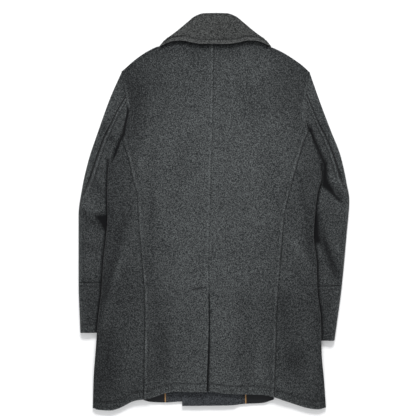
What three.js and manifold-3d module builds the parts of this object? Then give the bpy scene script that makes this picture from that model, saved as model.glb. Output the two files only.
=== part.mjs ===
// A long double-breasted pea coat, laid face down with its back up.
// Millimetres. +X is to the right across the back, +Y towards the collar, +Z up.
// The origin is on the surface it lies on, under the middle of its outline.
import * as THREE from "three";
import Module from "manifold-3d";

// Cloth and clearances
const WOOL = 3.0;
const SLEEVE_WOOL = 2.8;
const TRIM_CLOTH = 1.0;
const PIPING_THICKNESS = 1.2;
const SEAM_GAP = 0.3;
const SLEEVE_SEAM_GAP = 0.8;
const LAY_GAP = 0.4;

// Sizes of the whole coat
const ARMHOLE_LEFT_Y = 178;
const ARMHOLE_RIGHT_Y = 193;
const UNDERARM_LEFT_Y = 108;
const UNDERARM_RIGHT_Y = 98;
const VENT_TOP_Y = -184;
const VENT_UNDERLAP_COLUMNS = 2;
const OUTER_FRONT_EDGE_X = 48;
const UNDER_FRONT_EDGE_X = -77;
const FRONT_STEP_WIDTH = 15;
const FACING_EDGE_LEFT_X = -118;
const FACING_EDGE_RIGHT_X = 77;
const PIPING_WIDTH = 3;
const TRIM_TOP_Y = -395;

// Sleeve thickness where it lies flat, and where it meets the armhole
const SLEEVE_FLAT = 9.2;
const SLEEVE_AT_ARMHOLE = 6.4;
const SLEEVE_MARGIN = 24;
const SLEEVE_RAMP = 62;
const ARMHOLE_GAP = 1.6;

// Buttons and lapels on the underside
const BUTTON_RADIUS = 14;
const BUTTON_THICKNESS = 3.5;
const BUTTON_COLUMNS_X = [-53, 27];
const BUTTON_ROWS_Y = [128, 38, -52, -142];
const UNDERSIDE_RISE = 3.9;
const BUTTONS_MIDDLE_X = -13;
const BUTTONS_HALF_WIDTH = 62;
const LAPELS_HALF_WIDTH = 172;
const MIDDLE_RAMP = 44;
const LAPEL_THICKNESS = 3.5;

// Outline of the body at each height: fold edges, side-back seams and centre-back seam
const BODY_SECTIONS = [
  { y: -482, leftEdge: -294, leftSeam: -172, centre: -18.5, rightSeam: 144, rightEdge: 272 },
  { y: -411, leftEdge: -292, leftSeam: -169, centre: -17, rightSeam: 147, rightEdge: 267 },
  { y: -334, leftEdge: -286, leftSeam: -168, centre: -14, rightSeam: 149, rightEdge: 260 },
  { y: -262, leftEdge: -280.5, leftSeam: -167, centre: -12.3, rightSeam: 151, rightEdge: 258.5 },
  { y: -190, leftEdge: -272, leftSeam: -168.5, centre: -12.8, rightSeam: 154.5, rightEdge: 250 },
  { y: -120, leftEdge: -267.5, leftSeam: -174, centre: -13.7, rightSeam: 160, rightEdge: 247.8 },
  { y: -60, leftEdge: -261, leftSeam: -179, centre: -12.3, rightSeam: 165, rightEdge: 241 },
  { y: -10, leftEdge: -257.5, leftSeam: -182, centre: -10.8, rightSeam: 169.5, rightEdge: 244 },
  { y: 40, leftEdge: -258.4, leftSeam: -185.2, centre: -9.6, rightSeam: 180, rightEdge: 249.7 },
  { y: 84, leftEdge: -257, leftSeam: -196.8, centre: -8.4, rightSeam: 191.5, rightEdge: 259.6 },
  { y: 125, leftEdge: -255.5, leftSeam: -205, centre: -7.2, rightSeam: 203, rightEdge: 260 },
  { y: 178, leftEdge: -255, leftSeam: -219.8, centre: -5, rightSeam: 220.5, rightEdge: 260 },
  { y: 193, leftEdge: -255, leftSeam: -219, centre: -4.4, rightSeam: 227, rightEdge: 260 },
  { y: 445, leftEdge: -255, leftSeam: -219, centre: -1, rightSeam: 227, rightEdge: 260 },
];

// Armhole seams above the side-back seams
const ARMHOLE_SECTIONS = [
  { y: 178, left: -219.8, right: 230 },
  { y: 193, left: -219, right: 227 },
  { y: 219, left: -214.5, right: 222.2 },
  { y: 234, left: -211.5, right: 218.5 },
  { y: 255, left: -210, right: 220 },
  { y: 277, left: -213, right: 223 },
  { y: 300, left: -217.5, right: 227 },
  { y: 340, left: -223, right: 232 },
  { y: 380, left: -229, right: 238 },
];

// Shoulder and neck line, left to right
const SHOULDER_LINE = [
  { x: -240, y: 326 },
  { x: -223, y: 340 },
  { x: -188, y: 370 },
  { x: -155, y: 391 },
  { x: -134, y: 400 },
  { x: -123, y: 401 },
  { x: -111, y: 411 },
  { x: -82, y: 432 },
  { x: -43, y: 440 },
  { x: 0, y: 441 },
  { x: 43, y: 440 },
  { x: 82, y: 432 },
  { x: 116, y: 411 },
  { x: 128, y: 401 },
  { x: 139, y: 398 },
  { x: 208, y: 359 },
  { x: 232, y: 337.5 },
  { x: 250, y: 320 },
];

// Back hem, left to right
const BACK_HEM = [
  { x: -296, y: -470 },
  { x: -284, y: -478.8 },
  { x: -251, y: -481 },
  { x: -232, y: -476.4 },
  { x: -190, y: -457 },
  { x: -164, y: -453.4 },
  { x: -111, y: -437.7 },
  { x: -92, y: -435.3 },
  { x: -17, y: -435.3 },
  { x: 36, y: -441 },
  { x: 116, y: -443 },
  { x: 140, y: -447.4 },
  { x: 181, y: -461 },
  { x: 237, y: -477 },
  { x: 253, y: -478.3 },
  { x: 274, y: -472 },
];

// Hems of the fronts, which show below the back hem
const OUTER_FRONT_HEM = [
  { x: -173, y: -456 },
  { x: -152, y: -461 },
  { x: -118, y: -462.4 },
  { x: -83, y: -460.2 },
  { x: 60, y: -458 },
];
const UNDER_FRONT_HEM = [
  { x: -80, y: -470.3 },
  { x: 36, y: -469 },
  { x: 77, y: -465.5 },
  { x: 116, y: -463.6 },
  { x: 146, y: -455 },
];

// Height of the sides over the sleeves, and the sleeves' hidden inner edges
const SIDE_RISE = [
  { y: -482, rise: 0 },
  { y: -450, rise: 0.3 },
  { y: -400, rise: 4 },
  { y: -350, rise: 9.4 },
  { y: -330, rise: 10.2 },
  { y: 60, rise: 10.2 },
  { y: 110, rise: 9.6 },
  { y: 145, rise: 9 },
  { y: 178, rise: 8 },
  { y: 205, rise: 6 },
  { y: 245, rise: 1.8 },
  { y: 285, rise: 0 },
  { y: 445, rise: 0 },
];
const RIGHT_RISE_SHIFT = 24;
const TUCK_EDGES = [
  { y: -482, left: -184, right: 157 },
  { y: -293, left: -183, right: 158 },
  { y: -175, left: -176, right: 174 },
  { y: -97, left: -169, right: 171 },
  { y: -44, left: -167, right: 169 },
  { y: 0, left: -169, right: 171 },
  { y: 38, left: -176, right: 179 },
  { y: 72, left: -194, right: 200 },
  { y: 100, left: -212, right: 220 },
  { y: 145, left: -224, right: 232 },
  { y: 445, left: -224, right: 232 },
];

// Height of the back's under face along the centre
const BACK_CROWN = [
  { y: -482, height: 8.2 },
  { y: -400, height: 10.5 },
  { y: -330, height: 13 },
  { y: -200, height: 14.2 },
  { y: 0, height: 14.6 },
  { y: 150, height: 14 },
  { y: 250, height: 12 },
  { y: 350, height: 9.4 },
  { y: 445, height: 8.2 },
];

// Largest folds of the back and sides: ridges are positive, troughs negative
const BODY_FOLDS = [
  { fromX: -200, fromY: 28, toX: -268, toY: -242, width: 13, height: -2.2 },
  { fromX: -213, fromY: -92, toX: -266, toY: -283, width: 12, height: 3.2 },
  { fromX: -190, fromY: 330, toX: -194, toY: 173, width: 22, height: -1.8 },
  { fromX: 203, fromY: 101, toX: 234, toY: -129, width: 13, height: -2.2 },
  { fromX: 182, fromY: -61, toX: 230, toY: -145, width: 12, height: 3 },
  { fromX: 164, fromY: -182, toX: 208, toY: -394, width: 26, height: -2.6 },
  { fromX: -122, fromY: -189, toX: -121, toY: -440, width: 22, height: -2.6 },
  { fromX: 70, fromY: -190, toX: 77, toY: -430, width: 18, height: -1.6 },
];

// Sleeves: outer and hidden inner edge at each station from armhole to cuff hem.
// The back seam is given as a share of the way round, from the outer edge over the top.
const SLEEVE_STATIONS = {
  left: [
    { outerX: -223, outerY: 340, innerX: -219.8, innerY: 178, armholePull: 1, backSeam: 0.2, lie: 0 },
    { outerX: -251, outerY: 277, innerX: -231, innerY: 140, armholePull: 0.5, backSeam: 0.185, lie: 0.4 },
    { outerX: -280, outerY: 197, innerX: -227, innerY: 94, armholePull: 0.18, backSeam: 0.135, lie: 0.8 },
    { outerX: -304, outerY: 125, innerX: -205, innerY: 42, armholePull: 0, backSeam: 0.105, lie: 1 },
    { outerX: -319, outerY: 60, innerX: -176, innerY: -2, armholePull: 0, backSeam: 0.075, lie: 1 },
    { outerX: -328, outerY: -8, innerX: -167, innerY: -44, armholePull: 0, backSeam: 0.04, lie: 1 },
    { outerX: -328, outerY: -80, innerX: -169, innerY: -97, armholePull: 0, backSeam: 0.03, lie: 1 },
    { outerX: -328, outerY: -170, innerX: -176, innerY: -175, armholePull: 0, backSeam: 0.03, lie: 1 },
    { outerX: -324, outerY: -293, innerX: -183, innerY: -293, armholePull: 0, backSeam: 0.03, lie: 1 },
  ],
  right: [
    { outerX: 232, outerY: 337.5, innerX: 227, innerY: 193, armholePull: 1, backSeam: 0.2, lie: 0 },
    { outerX: 258, outerY: 263, innerX: 238, innerY: 152, armholePull: 0.5, backSeam: 0.185, lie: 0.4 },
    { outerX: 283, outerY: 197, innerX: 241, innerY: 104, armholePull: 0.18, backSeam: 0.135, lie: 0.8 },
    { outerX: 307, outerY: 135, innerX: 218, innerY: 44, armholePull: 0, backSeam: 0.105, lie: 1 },
    { outerX: 321, outerY: 72, innerX: 180, innerY: -5, armholePull: 0, backSeam: 0.075, lie: 1 },
    { outerX: 328, outerY: 26, innerX: 169, innerY: -44, armholePull: 0, backSeam: 0.04, lie: 1 },
    { outerX: 321, outerY: -59, innerX: 171, innerY: -97, armholePull: 0, backSeam: 0.03, lie: 1 },
    { outerX: 310, outerY: -177, innerX: 174, innerY: -184, armholePull: 0, backSeam: 0.03, lie: 1 },
    { outerX: 292, outerY: -312, innerX: 158, innerY: -312, armholePull: 0, backSeam: 0.03, lie: 1 },
  ],
};
const CUFF_STATION = 7;
const FRONT_SLEEVE_SEAM = 0.655;

// Creases of the sleeves, on the top layer only
const SLEEVE_FOLDS = [
  { fromX: -306, fromY: -8, toX: -262, toY: -46, width: 9, height: -2.4 },
  { fromX: 250, fromY: 72, toX: 304, toY: 35, width: 9, height: -2.6 },
  { fromX: 262, fromY: -60, toX: 302, toY: -168, width: 10, height: -2 },
];

// Collar fall at the back, from its middle to its left tip: fold line and lower edge
const COLLAR_MIDDLE_X = 3;
const COLLAR_SECTIONS = [
  { foldX: 0, foldY: 480.8, edgeX: 0, edgeY: 405, puff: 1.6 },
  { foldX: -27, foldY: 480.2, edgeX: -29.5, edgeY: 405, puff: 1.6 },
  { foldX: -49, foldY: 473, edgeX: -56, edgeY: 408.5, puff: 1.6 },
  { foldX: -68, foldY: 458, edgeX: -78, edgeY: 413, puff: 1.4 },
  { foldX: -90, foldY: 439.5, edgeX: -99.5, edgeY: 414.5, puff: 1 },
  { foldX: -110, foldY: 424.5, edgeX: -118, edgeY: 411, puff: 0.5 },
  { foldX: -117, foldY: 420, edgeX: -127.5, edgeY: 405.5, puff: 0.2 },
  { foldX: -120, foldY: 417, edgeX: -131.7, edgeY: 402.7, puff: 0 },
];
const COLLAR_SHEET_Z = 12.2;
const COLLAR_ROLL_Z = 7.4;
const COLLAR_ROLL_WIDTH = 3;
const STAND_TUCK = 4;

// Collar end and lapel on the underside, left one; the right ones are mirrored
const COLLAR_END = [
  { x: -131.7, y: 402.7 },
  { x: -120, y: 417 },
  { x: -104, y: 403 },
  { x: -75, y: 361.5 },
  { x: -164, y: 330 },
  { x: -157, y: 352 },
  { x: -142.5, y: 376 },
];
const LEFT_LAPEL = [
  { x: -74, y: 356 },
  { x: -116, y: 341 },
  { x: -160, y: 300 },
  { x: -128, y: 256 },
  { x: -78, y: 207 },
  { x: -20, y: 168 },
  { x: 44, y: 149 },
];
const RIGHT_LAPEL = [
  { x: 79, y: 356 },
  { x: 121, y: 341 },
  { x: 165, y: 300 },
  { x: 133, y: 256 },
  { x: 92, y: 207 },
  { x: 52, y: 150 },
  { x: -3, y: 247 },
];

// Neck opening between the lapels: each front is cut away beyond its roll line
const ROLL_TOP_Y = 420;
const ROLL_FOOT_Y = 149;
const LEFT_ROLL = { topX: -111, footX: OUTER_FRONT_EDGE_X };
const RIGHT_ROLL = { topX: 116, footX: UNDER_FRONT_EDGE_X };

// Rows of the body mesh between the hem, the vent's top, the armholes and the shoulders
const ROWS_BELOW_VENT = 8;
const ROWS_ABOVE_VENT = 11;
const ROWS_AT_ARMHOLE = 8;
const HEM_ROW = 1;
const VENT_ROW = HEM_ROW + ROWS_BELOW_VENT;
const ARMHOLE_ROW = VENT_ROW + ROWS_ABOVE_VENT;
const TOP_ROW = ARMHOLE_ROW + ROWS_AT_ARMHOLE;
const TRIM_ROWS = 3;

const lerp = (a, b, t) => a + (b - a) * t;
const clamp01 = (t) => Math.min(1, Math.max(0, t));

function smoothStep(from, to, value) {
  const t = clamp01((value - from) / (to - from));
  return t * t * (3 - 2 * t);
}

// A smooth curve through a table's rows that never overshoots them
function curveThrough(rows, input, output) {
  const xs = rows.map((row) => row[input]);
  const ys = rows.map((row) => row[output]);
  const last = xs.length - 1;
  const rise = xs.slice(1).map((x, i) => (ys[i + 1] - ys[i]) / (x - xs[i]));
  const slopes = xs.map((_, i) => {
    if (i === 0 || i === last) {
      return rise[i === 0 ? 0 : last - 1];
    }
    const product = rise[i - 1] * rise[i];
    return product <= 0 ? 0 : (2 * product) / (rise[i - 1] + rise[i]);
  });
  return (value) => {
    const x = Math.min(xs[last], Math.max(xs[0], value));
    let i = 0;
    while (i < last - 1 && x > xs[i + 1]) {
      i += 1;
    }
    const span = xs[i + 1] - xs[i];
    const t = (x - xs[i]) / span;
    const hold = (1 + 2 * t) * (1 - t) * (1 - t) * ys[i] + t * t * (3 - 2 * t) * ys[i + 1];
    const turn = t * (1 - t) * (1 - t) * slopes[i] - t * t * (1 - t) * slopes[i + 1];
    return hold + span * turn;
  };
}

// Ridge or trough along a line, fading out at both ends
function foldRelief(folds, x, y) {
  let relief = 0;
  for (const fold of folds) {
    const dx = fold.toX - fold.fromX;
    const dy = fold.toY - fold.fromY;
    const length = Math.hypot(dx, dy);
    const along = ((x - fold.fromX) * dx + (y - fold.fromY) * dy) / (length * length);
    const across = ((x - fold.fromX) * dy - (y - fold.fromY) * dx) / length;
    const fade = smoothStep(-0.12, 0.2, along) * (1 - smoothStep(0.8, 1.12, along));
    relief += fold.height * fade * Math.exp(-((across / fold.width) ** 2));
  }
  return relief;
}

// A closed wall between an outer and an inner grid of points, [row][column]
function wallGeometry(outer, inner, closedAround = false) {
  const rows = outer.length;
  const columns = outer[0].length;
  const positions = [];
  for (const grid of [outer, inner]) {
    for (const row of grid) {
      for (const point of row) {
        positions.push(point.x, point.y, point.z);
      }
    }
  }
  const index = [];
  const at = (layer, r, c) => layer * rows * columns + r * columns + (c % columns);
  const quad = (a, b, c, d) => index.push(a, b, c, a, c, d);
  const lastColumn = closedAround ? columns : columns - 1;
  for (let r = 0; r < rows - 1; r += 1) {
    for (let c = 0; c < lastColumn; c += 1) {
      quad(at(0, r, c), at(0, r, c + 1), at(0, r + 1, c + 1), at(0, r + 1, c));
      quad(at(1, r + 1, c), at(1, r + 1, c + 1), at(1, r, c + 1), at(1, r, c));
    }
  }
  for (let c = 0; c < lastColumn; c += 1) {
    quad(at(1, 0, c), at(1, 0, c + 1), at(0, 0, c + 1), at(0, 0, c));
    quad(at(0, rows - 1, c), at(0, rows - 1, c + 1), at(1, rows - 1, c + 1), at(1, rows - 1, c));
  }
  if (!closedAround) {
    const end = columns - 1;
    for (let r = 0; r < rows - 1; r += 1) {
      quad(at(0, r, 0), at(0, r + 1, 0), at(1, r + 1, 0), at(1, r, 0));
      quad(at(1, r, end), at(1, r + 1, end), at(0, r + 1, end), at(0, r, end));
    }
  }
  const geometry = new THREE.BufferGeometry();
  geometry.setAttribute("position", new THREE.Float32BufferAttribute(positions, 3));
  geometry.setIndex(index);
  return geometry;
}

const bodyLine = (name) => curveThrough(BODY_SECTIONS, "y", name);
const leftEdge = bodyLine("leftEdge");
const rightEdge = bodyLine("rightEdge");
const leftSeam = bodyLine("leftSeam");
const rightSeam = bodyLine("rightSeam");
const centreSeam = bodyLine("centre");
const leftArmhole = curveThrough(ARMHOLE_SECTIONS, "y", "left");
const rightArmhole = curveThrough(ARMHOLE_SECTIONS, "y", "right");
const shoulderY = curveThrough(SHOULDER_LINE, "x", "y");
const backHemY = curveThrough(BACK_HEM, "x", "y");
const outerFrontHemY = curveThrough(OUTER_FRONT_HEM, "x", "y");
const underFrontHemY = curveThrough(UNDER_FRONT_HEM, "x", "y");
const sideRise = curveThrough(SIDE_RISE, "y", "rise");
const leftTuck = curveThrough(TUCK_EDGES, "y", "left");
const rightTuck = curveThrough(TUCK_EDGES, "y", "right");
const backCrown = curveThrough(BACK_CROWN, "y", "height");

const panelLeft = (y) => (y < ARMHOLE_LEFT_Y ? leftSeam(y) : leftArmhole(y));
const panelRight = (y) => (y < ARMHOLE_RIGHT_Y ? rightSeam(y) : rightArmhole(y));

// Lines that run from hem to shoulder, with the number of cells up to the next one
const COLUMN_LINES = [
  { name: "leftSeam", x: panelLeft, cells: 3 },
  { name: "leftFacing", x: () => FACING_EDGE_LEFT_X, cells: 2 },
  { name: "underFrontEdge", x: () => UNDER_FRONT_EDGE_X, cells: 3 },
  { name: "centre", x: centreSeam, cells: 3 },
  { name: "outerFrontEdge", x: () => OUTER_FRONT_EDGE_X, cells: 1 },
  { name: "outerFrontStep", x: () => OUTER_FRONT_EDGE_X + FRONT_STEP_WIDTH, cells: 1 },
  { name: "rightFacing", x: () => FACING_EDGE_RIGHT_X, cells: 3 },
  { name: "rightSeam", x: panelRight, cells: 0 },
];
const COLUMN = {};
const columnX = [];
COLUMN_LINES.forEach((line, i) => {
  COLUMN[line.name] = columnX.length;
  const next = COLUMN_LINES[i + 1];
  for (let cell = 0; cell < line.cells; cell += 1) {
    columnX.push((y) => lerp(line.x(y), next.x(y), cell / line.cells));
  }
});
columnX.push(panelRight);

// Height of a row where it crosses x: armholeY and hemY are the line's own ends
function rowY(row, x, armholeY, hemY) {
  if (row <= VENT_ROW) {
    return lerp(hemY, VENT_TOP_Y, (row - HEM_ROW) / ROWS_BELOW_VENT);
  }
  if (row <= ARMHOLE_ROW) {
    return lerp(VENT_TOP_Y, armholeY, (row - VENT_ROW) / ROWS_ABOVE_VENT);
  }
  return lerp(armholeY, shoulderY(x), (row - ARMHOLE_ROW) / ROWS_AT_ARMHOLE);
}

// A point of the panels between the side seams; frontHem shapes the row below the back hem
function panelPoint(row, column, frontHem = backHemY) {
  let x = columnX[column](0);
  let y = 0;
  for (let pass = 0; pass < 6; pass += 1) {
    const share = (x - leftSeam(ARMHOLE_LEFT_Y)) / (rightSeam(ARMHOLE_RIGHT_Y) - leftSeam(ARMHOLE_LEFT_Y));
    const armholeY = lerp(ARMHOLE_LEFT_Y, ARMHOLE_RIGHT_Y, clamp01(share));
    y = row < HEM_ROW ? Math.min(frontHem(x), backHemY(x) - 1) : rowY(row, x, armholeY, backHemY(x));
    x = columnX[column](y);
  }
  return { x, y };
}

// A point of a side body's strip: share runs from the seam, 0, to the fold edge, 1
const SIDES = {
  left: {
    seam: leftSeam, edge: leftEdge, outward: -1, armholeY: ARMHOLE_LEFT_Y, underarmY: UNDERARM_LEFT_Y, round: 1.2,
  },
  right: {
    seam: rightSeam, edge: rightEdge, outward: 1, armholeY: ARMHOLE_RIGHT_Y, underarmY: UNDERARM_RIGHT_Y, round: 2.2,
  },
};
function stripPoint(side, row, share, inset = 0) {
  const top = lerp(side.armholeY, side.underarmY, share ** side.round);
  let x = side.edge(0);
  let y = 0;
  for (let pass = 0; pass < 6; pass += 1) {
    y = rowY(row, x, top, backHemY(x));
    x = lerp(side.seam(y), side.edge(y) - side.outward * inset, share);
  }
  return { x, y };
}

// What lifts the fronts: the sleeves under the sides, the lapels and buttons under the middle
function undersideRise(x, y) {
  const beyondTuck = x < 0 ? x - leftTuck(y) : rightTuck(y) - x;
  const rise = sideRise(x < 0 ? y : y - RIGHT_RISE_SHIFT);
  const overSleeve = rise * (1 - smoothStep(SLEEVE_MARGIN, SLEEVE_MARGIN + SLEEVE_RAMP, beyondTuck));
  const towardsLapels = smoothStep(100, 160, y);
  const halfWidth = lerp(BUTTONS_HALF_WIDTH, LAPELS_HALF_WIDTH, towardsLapels);
  const fromMiddle = Math.abs(x - lerp(BUTTONS_MIDDLE_X, COLLAR_MIDDLE_X, towardsLapels));
  const overMiddle = 1 - smoothStep(halfWidth, halfWidth + MIDDLE_RAMP, fromMiddle);
  const belowButtons = smoothStep(-250, -190, y);
  return Math.max(overSleeve, UNDERSIDE_RISE * overMiddle * belowButtons);
}

// The under front steps up on to the outer front
function overlapLift(x, y) {
  const step = 1 - clamp01((x - OUTER_FRONT_EDGE_X) / FRONT_STEP_WIDTH);
  return (WOOL + LAY_GAP) * step * (1 - smoothStep(258, 330, y));
}

const outerFrontZ = (x, y) => undersideRise(x, y);
const underFrontZ = (x, y) => undersideRise(x, y) + overlapLift(x, y);

function stackTop(x, y) {
  const onUnderFront = clamp01((x - UNDER_FRONT_EDGE_X + FRONT_STEP_WIDTH) / FRONT_STEP_WIDTH);
  const trim = (TRIM_CLOTH + 2 * SEAM_GAP + 0.2) * (1 - smoothStep(-360, -320, y));
  return undersideRise(x, y) + WOOL + overlapLift(x, y) * onUnderFront + trim;
}

// Under face of the back, and of the sides' upper layer
function backZ(x, y) {
  const half = (rightEdge(y) - leftEdge(y)) / 2;
  const across = clamp01(Math.abs(x - (rightEdge(y) + leftEdge(y)) / 2) / half);
  const lying = stackTop(x, y) + LAY_GAP;
  const loft = 1.8 * (1 - across ** 8) * (1 - smoothStep(120, 230, y)) * smoothStep(-480, -420, y);
  const rest = Math.max(lying + loft, backCrown(y) * (1 - across ** 3));
  return Math.max(lying, rest + foldRelief(BODY_FOLDS, x, y) * (1 - across ** 10));
}

// The vent's underlap lifts the left back that lies on it
function ventLift(row, column) {
  const beside = COLUMN.centre - column;
  const under = 1 - clamp01(beside - VENT_UNDERLAP_COLUMNS);
  const below = clamp01(VENT_ROW + 2 - row);
  return column <= COLUMN.centre ? (WOOL + LAY_GAP) * under * below : 0;
}

// A panel over the cells of the body mesh: cells(row, column) says which ones it has
function panelGeometry(fromRow, toRow, fromColumn, toColumn, cells, zOf, thickness, options = {}) {
  const { frontHem, trimLeft = 0, trimRight = 0, leftLine = fromColumn } = options;
  const nodes = new Map();
  const positions = [];
  const node = (row, column, layer) => {
    const key = `${row} ${column} ${layer}`;
    if (!nodes.has(key)) {
      const { x, y } = panelPoint(row, column, frontHem);
      let trimmed = column === leftLine ? x + trimLeft : x;
      trimmed = column === toColumn ? x - trimRight : trimmed;
      nodes.set(key, positions.length / 3);
      positions.push(trimmed, y, zOf(x, y, row, column) + (layer === 0 ? thickness : 0));
    }
    return nodes.get(key);
  };
  const index = [];
  const quad = (a, b, c, d) => index.push(a, b, c, a, c, d);
  const has = (r, c) => r >= fromRow && r < toRow && c >= fromColumn && c < toColumn && cells(r, c);
  for (let r = fromRow; r < toRow; r += 1) {
    for (let c = fromColumn; c < toColumn; c += 1) {
      if (!has(r, c)) {
        continue;
      }
      const corners = [[r, c], [r, c + 1], [r + 1, c + 1], [r + 1, c]];
      const top = corners.map(([row, column]) => node(row, column, 0));
      const base = corners.map(([row, column]) => node(row, column, 1));
      quad(top[0], top[1], top[2], top[3]);
      index.push(base[0], base[2], base[1], base[0], base[3], base[2]);
      const neighbours = [has(r - 1, c), has(r, c + 1), has(r + 1, c), has(r, c - 1)];
      neighbours.forEach((joined, i) => {
        if (!joined) {
          const j = (i + 1) % 4;
          quad(base[i], base[j], top[j], top[i]);
        }
      });
    }
  }
  const geometry = new THREE.BufferGeometry();
  geometry.setAttribute("position", new THREE.Float32BufferAttribute(positions, 3));
  geometry.setIndex(index);
  return geometry;
}

const wasm = await Module();
wasm.setup();

function toSolid(geometry) {
  return new wasm.Manifold(new wasm.Mesh({
    numProp: 3,
    vertProperties: new Float32Array(geometry.attributes.position.array),
    triVerts: new Uint32Array(geometry.index.array),
  }));
}

function toGeometry(solid) {
  const mesh = solid.getMesh();
  const geometry = new THREE.BufferGeometry();
  geometry.setAttribute("position", new THREE.BufferAttribute(mesh.vertProperties, 3));
  geometry.setIndex(new THREE.BufferAttribute(mesh.triVerts, 1));
  return geometry;
}

// A flat plate between two heights, from its outline seen from above, turned anticlockwise
function plateGeometry(outline, fromZ, toZ) {
  const points = outline.map((p) => new THREE.Vector2(p.x, p.y));
  if (THREE.ShapeUtils.isClockWise(points)) {
    points.reverse();
  }
  const faces = THREE.ShapeUtils.triangulateShape(points, []);
  const count = points.length;
  const positions = [];
  for (const z of [fromZ, toZ]) {
    for (const p of points) {
      positions.push(p.x, p.y, z);
    }
  }
  const index = [];
  for (const [a, b, c] of faces) {
    index.push(c, b, a, a + count, b + count, c + count);
  }
  for (let i = 0; i < count; i += 1) {
    const j = (i + 1) % count;
    index.push(i, j, j + count, i, j + count, i + count);
  }
  const geometry = new THREE.BufferGeometry();
  geometry.setAttribute("position", new THREE.Float32BufferAttribute(positions, 3));
  geometry.setIndex(index);
  return geometry;
}

// The neck opening beyond a front's roll line, as a tall plate to cut the front with
function beyondRoll(roll, inward) {
  const outline = [
    { x: roll.topX, y: ROLL_TOP_Y },
    { x: roll.footX, y: ROLL_FOOT_Y },
    { x: roll.footX + inward * 200, y: ROLL_FOOT_Y },
    { x: roll.footX + inward * 200, y: ROLL_TOP_Y + 60 },
    { x: roll.topX, y: ROLL_TOP_Y + 60 },
  ];
  return toSolid(plateGeometry(outline, -10, 40));
}

// Sleeves
function sleeveStation(rows, station) {
  const indexed = rows.map((row, i) => ({ ...row, station: i }));
  const value = {};
  for (const name of ["outerX", "outerY", "innerX", "innerY", "armholePull", "backSeam", "lie"]) {
    value[name] = curveThrough(indexed, "station", name)(station);
  }
  return value;
}

// The armhole seam in plan from the shoulder to the side-back seam, with a gap for the seam
function armholeLine(sideName) {
  const side = SIDES[sideName];
  const column = sideName === "left" ? COLUMN.leftSeam : COLUMN.rightSeam;
  const points = [];
  for (let row = TOP_ROW; row >= ARMHOLE_ROW; row -= 1) {
    points.push(panelPoint(row, column));
  }
  const line = new THREE.CurvePath();
  for (let i = 0; i < points.length - 1; i += 1) {
    const from = new THREE.Vector2(points[i].x, points[i].y);
    const to = new THREE.Vector2(points[i + 1].x, points[i + 1].y);
    line.add(new THREE.LineCurve(from, to));
  }
  return (share) => {
    const point = line.getPointAt(clamp01(share));
    return { x: point.x + side.outward * ARMHOLE_GAP, y: point.y };
  };
}

const RING_TURN = 0.06;
const SLEEVE_ARMHOLE_LINES = { left: armholeLine("left"), right: armholeLine("right") };

// A point of a sleeve: around runs from the outer edge over the top to the inner edge, 0.5, and back below
function sleevePoint(sideName, station, around, inset) {
  const s = sleeveStation(SLEEVE_STATIONS[sideName], station);
  const thick = lerp(SLEEVE_AT_ARMHOLE, SLEEVE_FLAT, s.lie);
  const width = Math.hypot(s.innerX - s.outerX, s.innerY - s.outerY);
  const reach = thick / 2 / width;
  const p = ((around % 1) + 1) % 1;
  let share = 0;
  let z = 0;
  const halfThick = thick / 2;
  const radius = halfThick - inset;
  const straight = 0.5 - 2 * RING_TURN;
  if (p >= RING_TURN && p <= 0.5 - RING_TURN) {
    share = lerp(reach, 1 - reach, (p - RING_TURN) / straight);
    z = halfThick + radius;
  } else if (p >= 0.5 + RING_TURN && p <= 1 - RING_TURN) {
    share = lerp(1 - reach, reach, (p - 0.5 - RING_TURN) / straight);
    z = halfThick - radius;
  } else if (p > 0.25 && p < 0.75) {
    const angle = (Math.PI / 2) * (1 - (p - 0.5 + RING_TURN) / RING_TURN);
    share = 1 - reach + (Math.cos(angle) * radius) / width;
    z = halfThick + Math.sin(angle) * radius;
  } else {
    const turned = p > 0.5 ? p - 1 : p;
    const angle = (Math.PI / 2) * (turned / RING_TURN);
    share = reach - (Math.cos(angle) * radius) / width;
    z = halfThick + Math.sin(angle) * radius;
  }
  const armhole = SLEEVE_ARMHOLE_LINES[sideName](share);
  const chordX = lerp(SLEEVE_STATIONS[sideName][0].outerX, SLEEVE_STATIONS[sideName][0].innerX, share);
  const chordY = lerp(SLEEVE_STATIONS[sideName][0].outerY, SLEEVE_STATIONS[sideName][0].innerY, share);
  const x = lerp(s.outerX, s.innerX, share) + s.armholePull * (armhole.x - chordX);
  const y = lerp(s.outerY, s.innerY, share) + s.armholePull * (armhole.y - chordY);
  if (p < 0.5 && share > reach && share < 1 - reach) {
    z += foldRelief(SLEEVE_FOLDS, x, y) * s.lie;
  }
  return { x, y, z };
}

const arcSpeed = (around) => (Math.abs(((around + 0.25) % 0.5) - 0.25) < RING_TURN ? 120 : 400);

function sleevePanel(sideName, stations, fromOf, toOf, steps) {
  const grids = [0, SLEEVE_WOOL].map((inset) => stations.map((station) => {
    const from = fromOf(station);
    const to = toOf(station);
    const start = from + SLEEVE_SEAM_GAP / 2 / arcSpeed(from);
    const end = to - SLEEVE_SEAM_GAP / 2 / arcSpeed(to);
    return Array.from({ length: steps + 1 }, (_, i) => sleevePoint(sideName, station, lerp(start, end, i / steps), inset));
  }));
  return sideName === "right" ? wallGeometry(grids[0], grids[1]) : wallGeometry(grids[1], grids[0]);
}

function cuffGeometry(sideName, stations, steps) {
  const grids = [0, SLEEVE_WOOL].map((inset) => stations.map((station) => (
    Array.from({ length: steps }, (_, i) => sleevePoint(sideName, station, i / steps, inset))
  )));
  return sideName === "right"
    ? wallGeometry(grids[0], grids[1], true)
    : wallGeometry(grids[1], grids[0], true);
}

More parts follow.
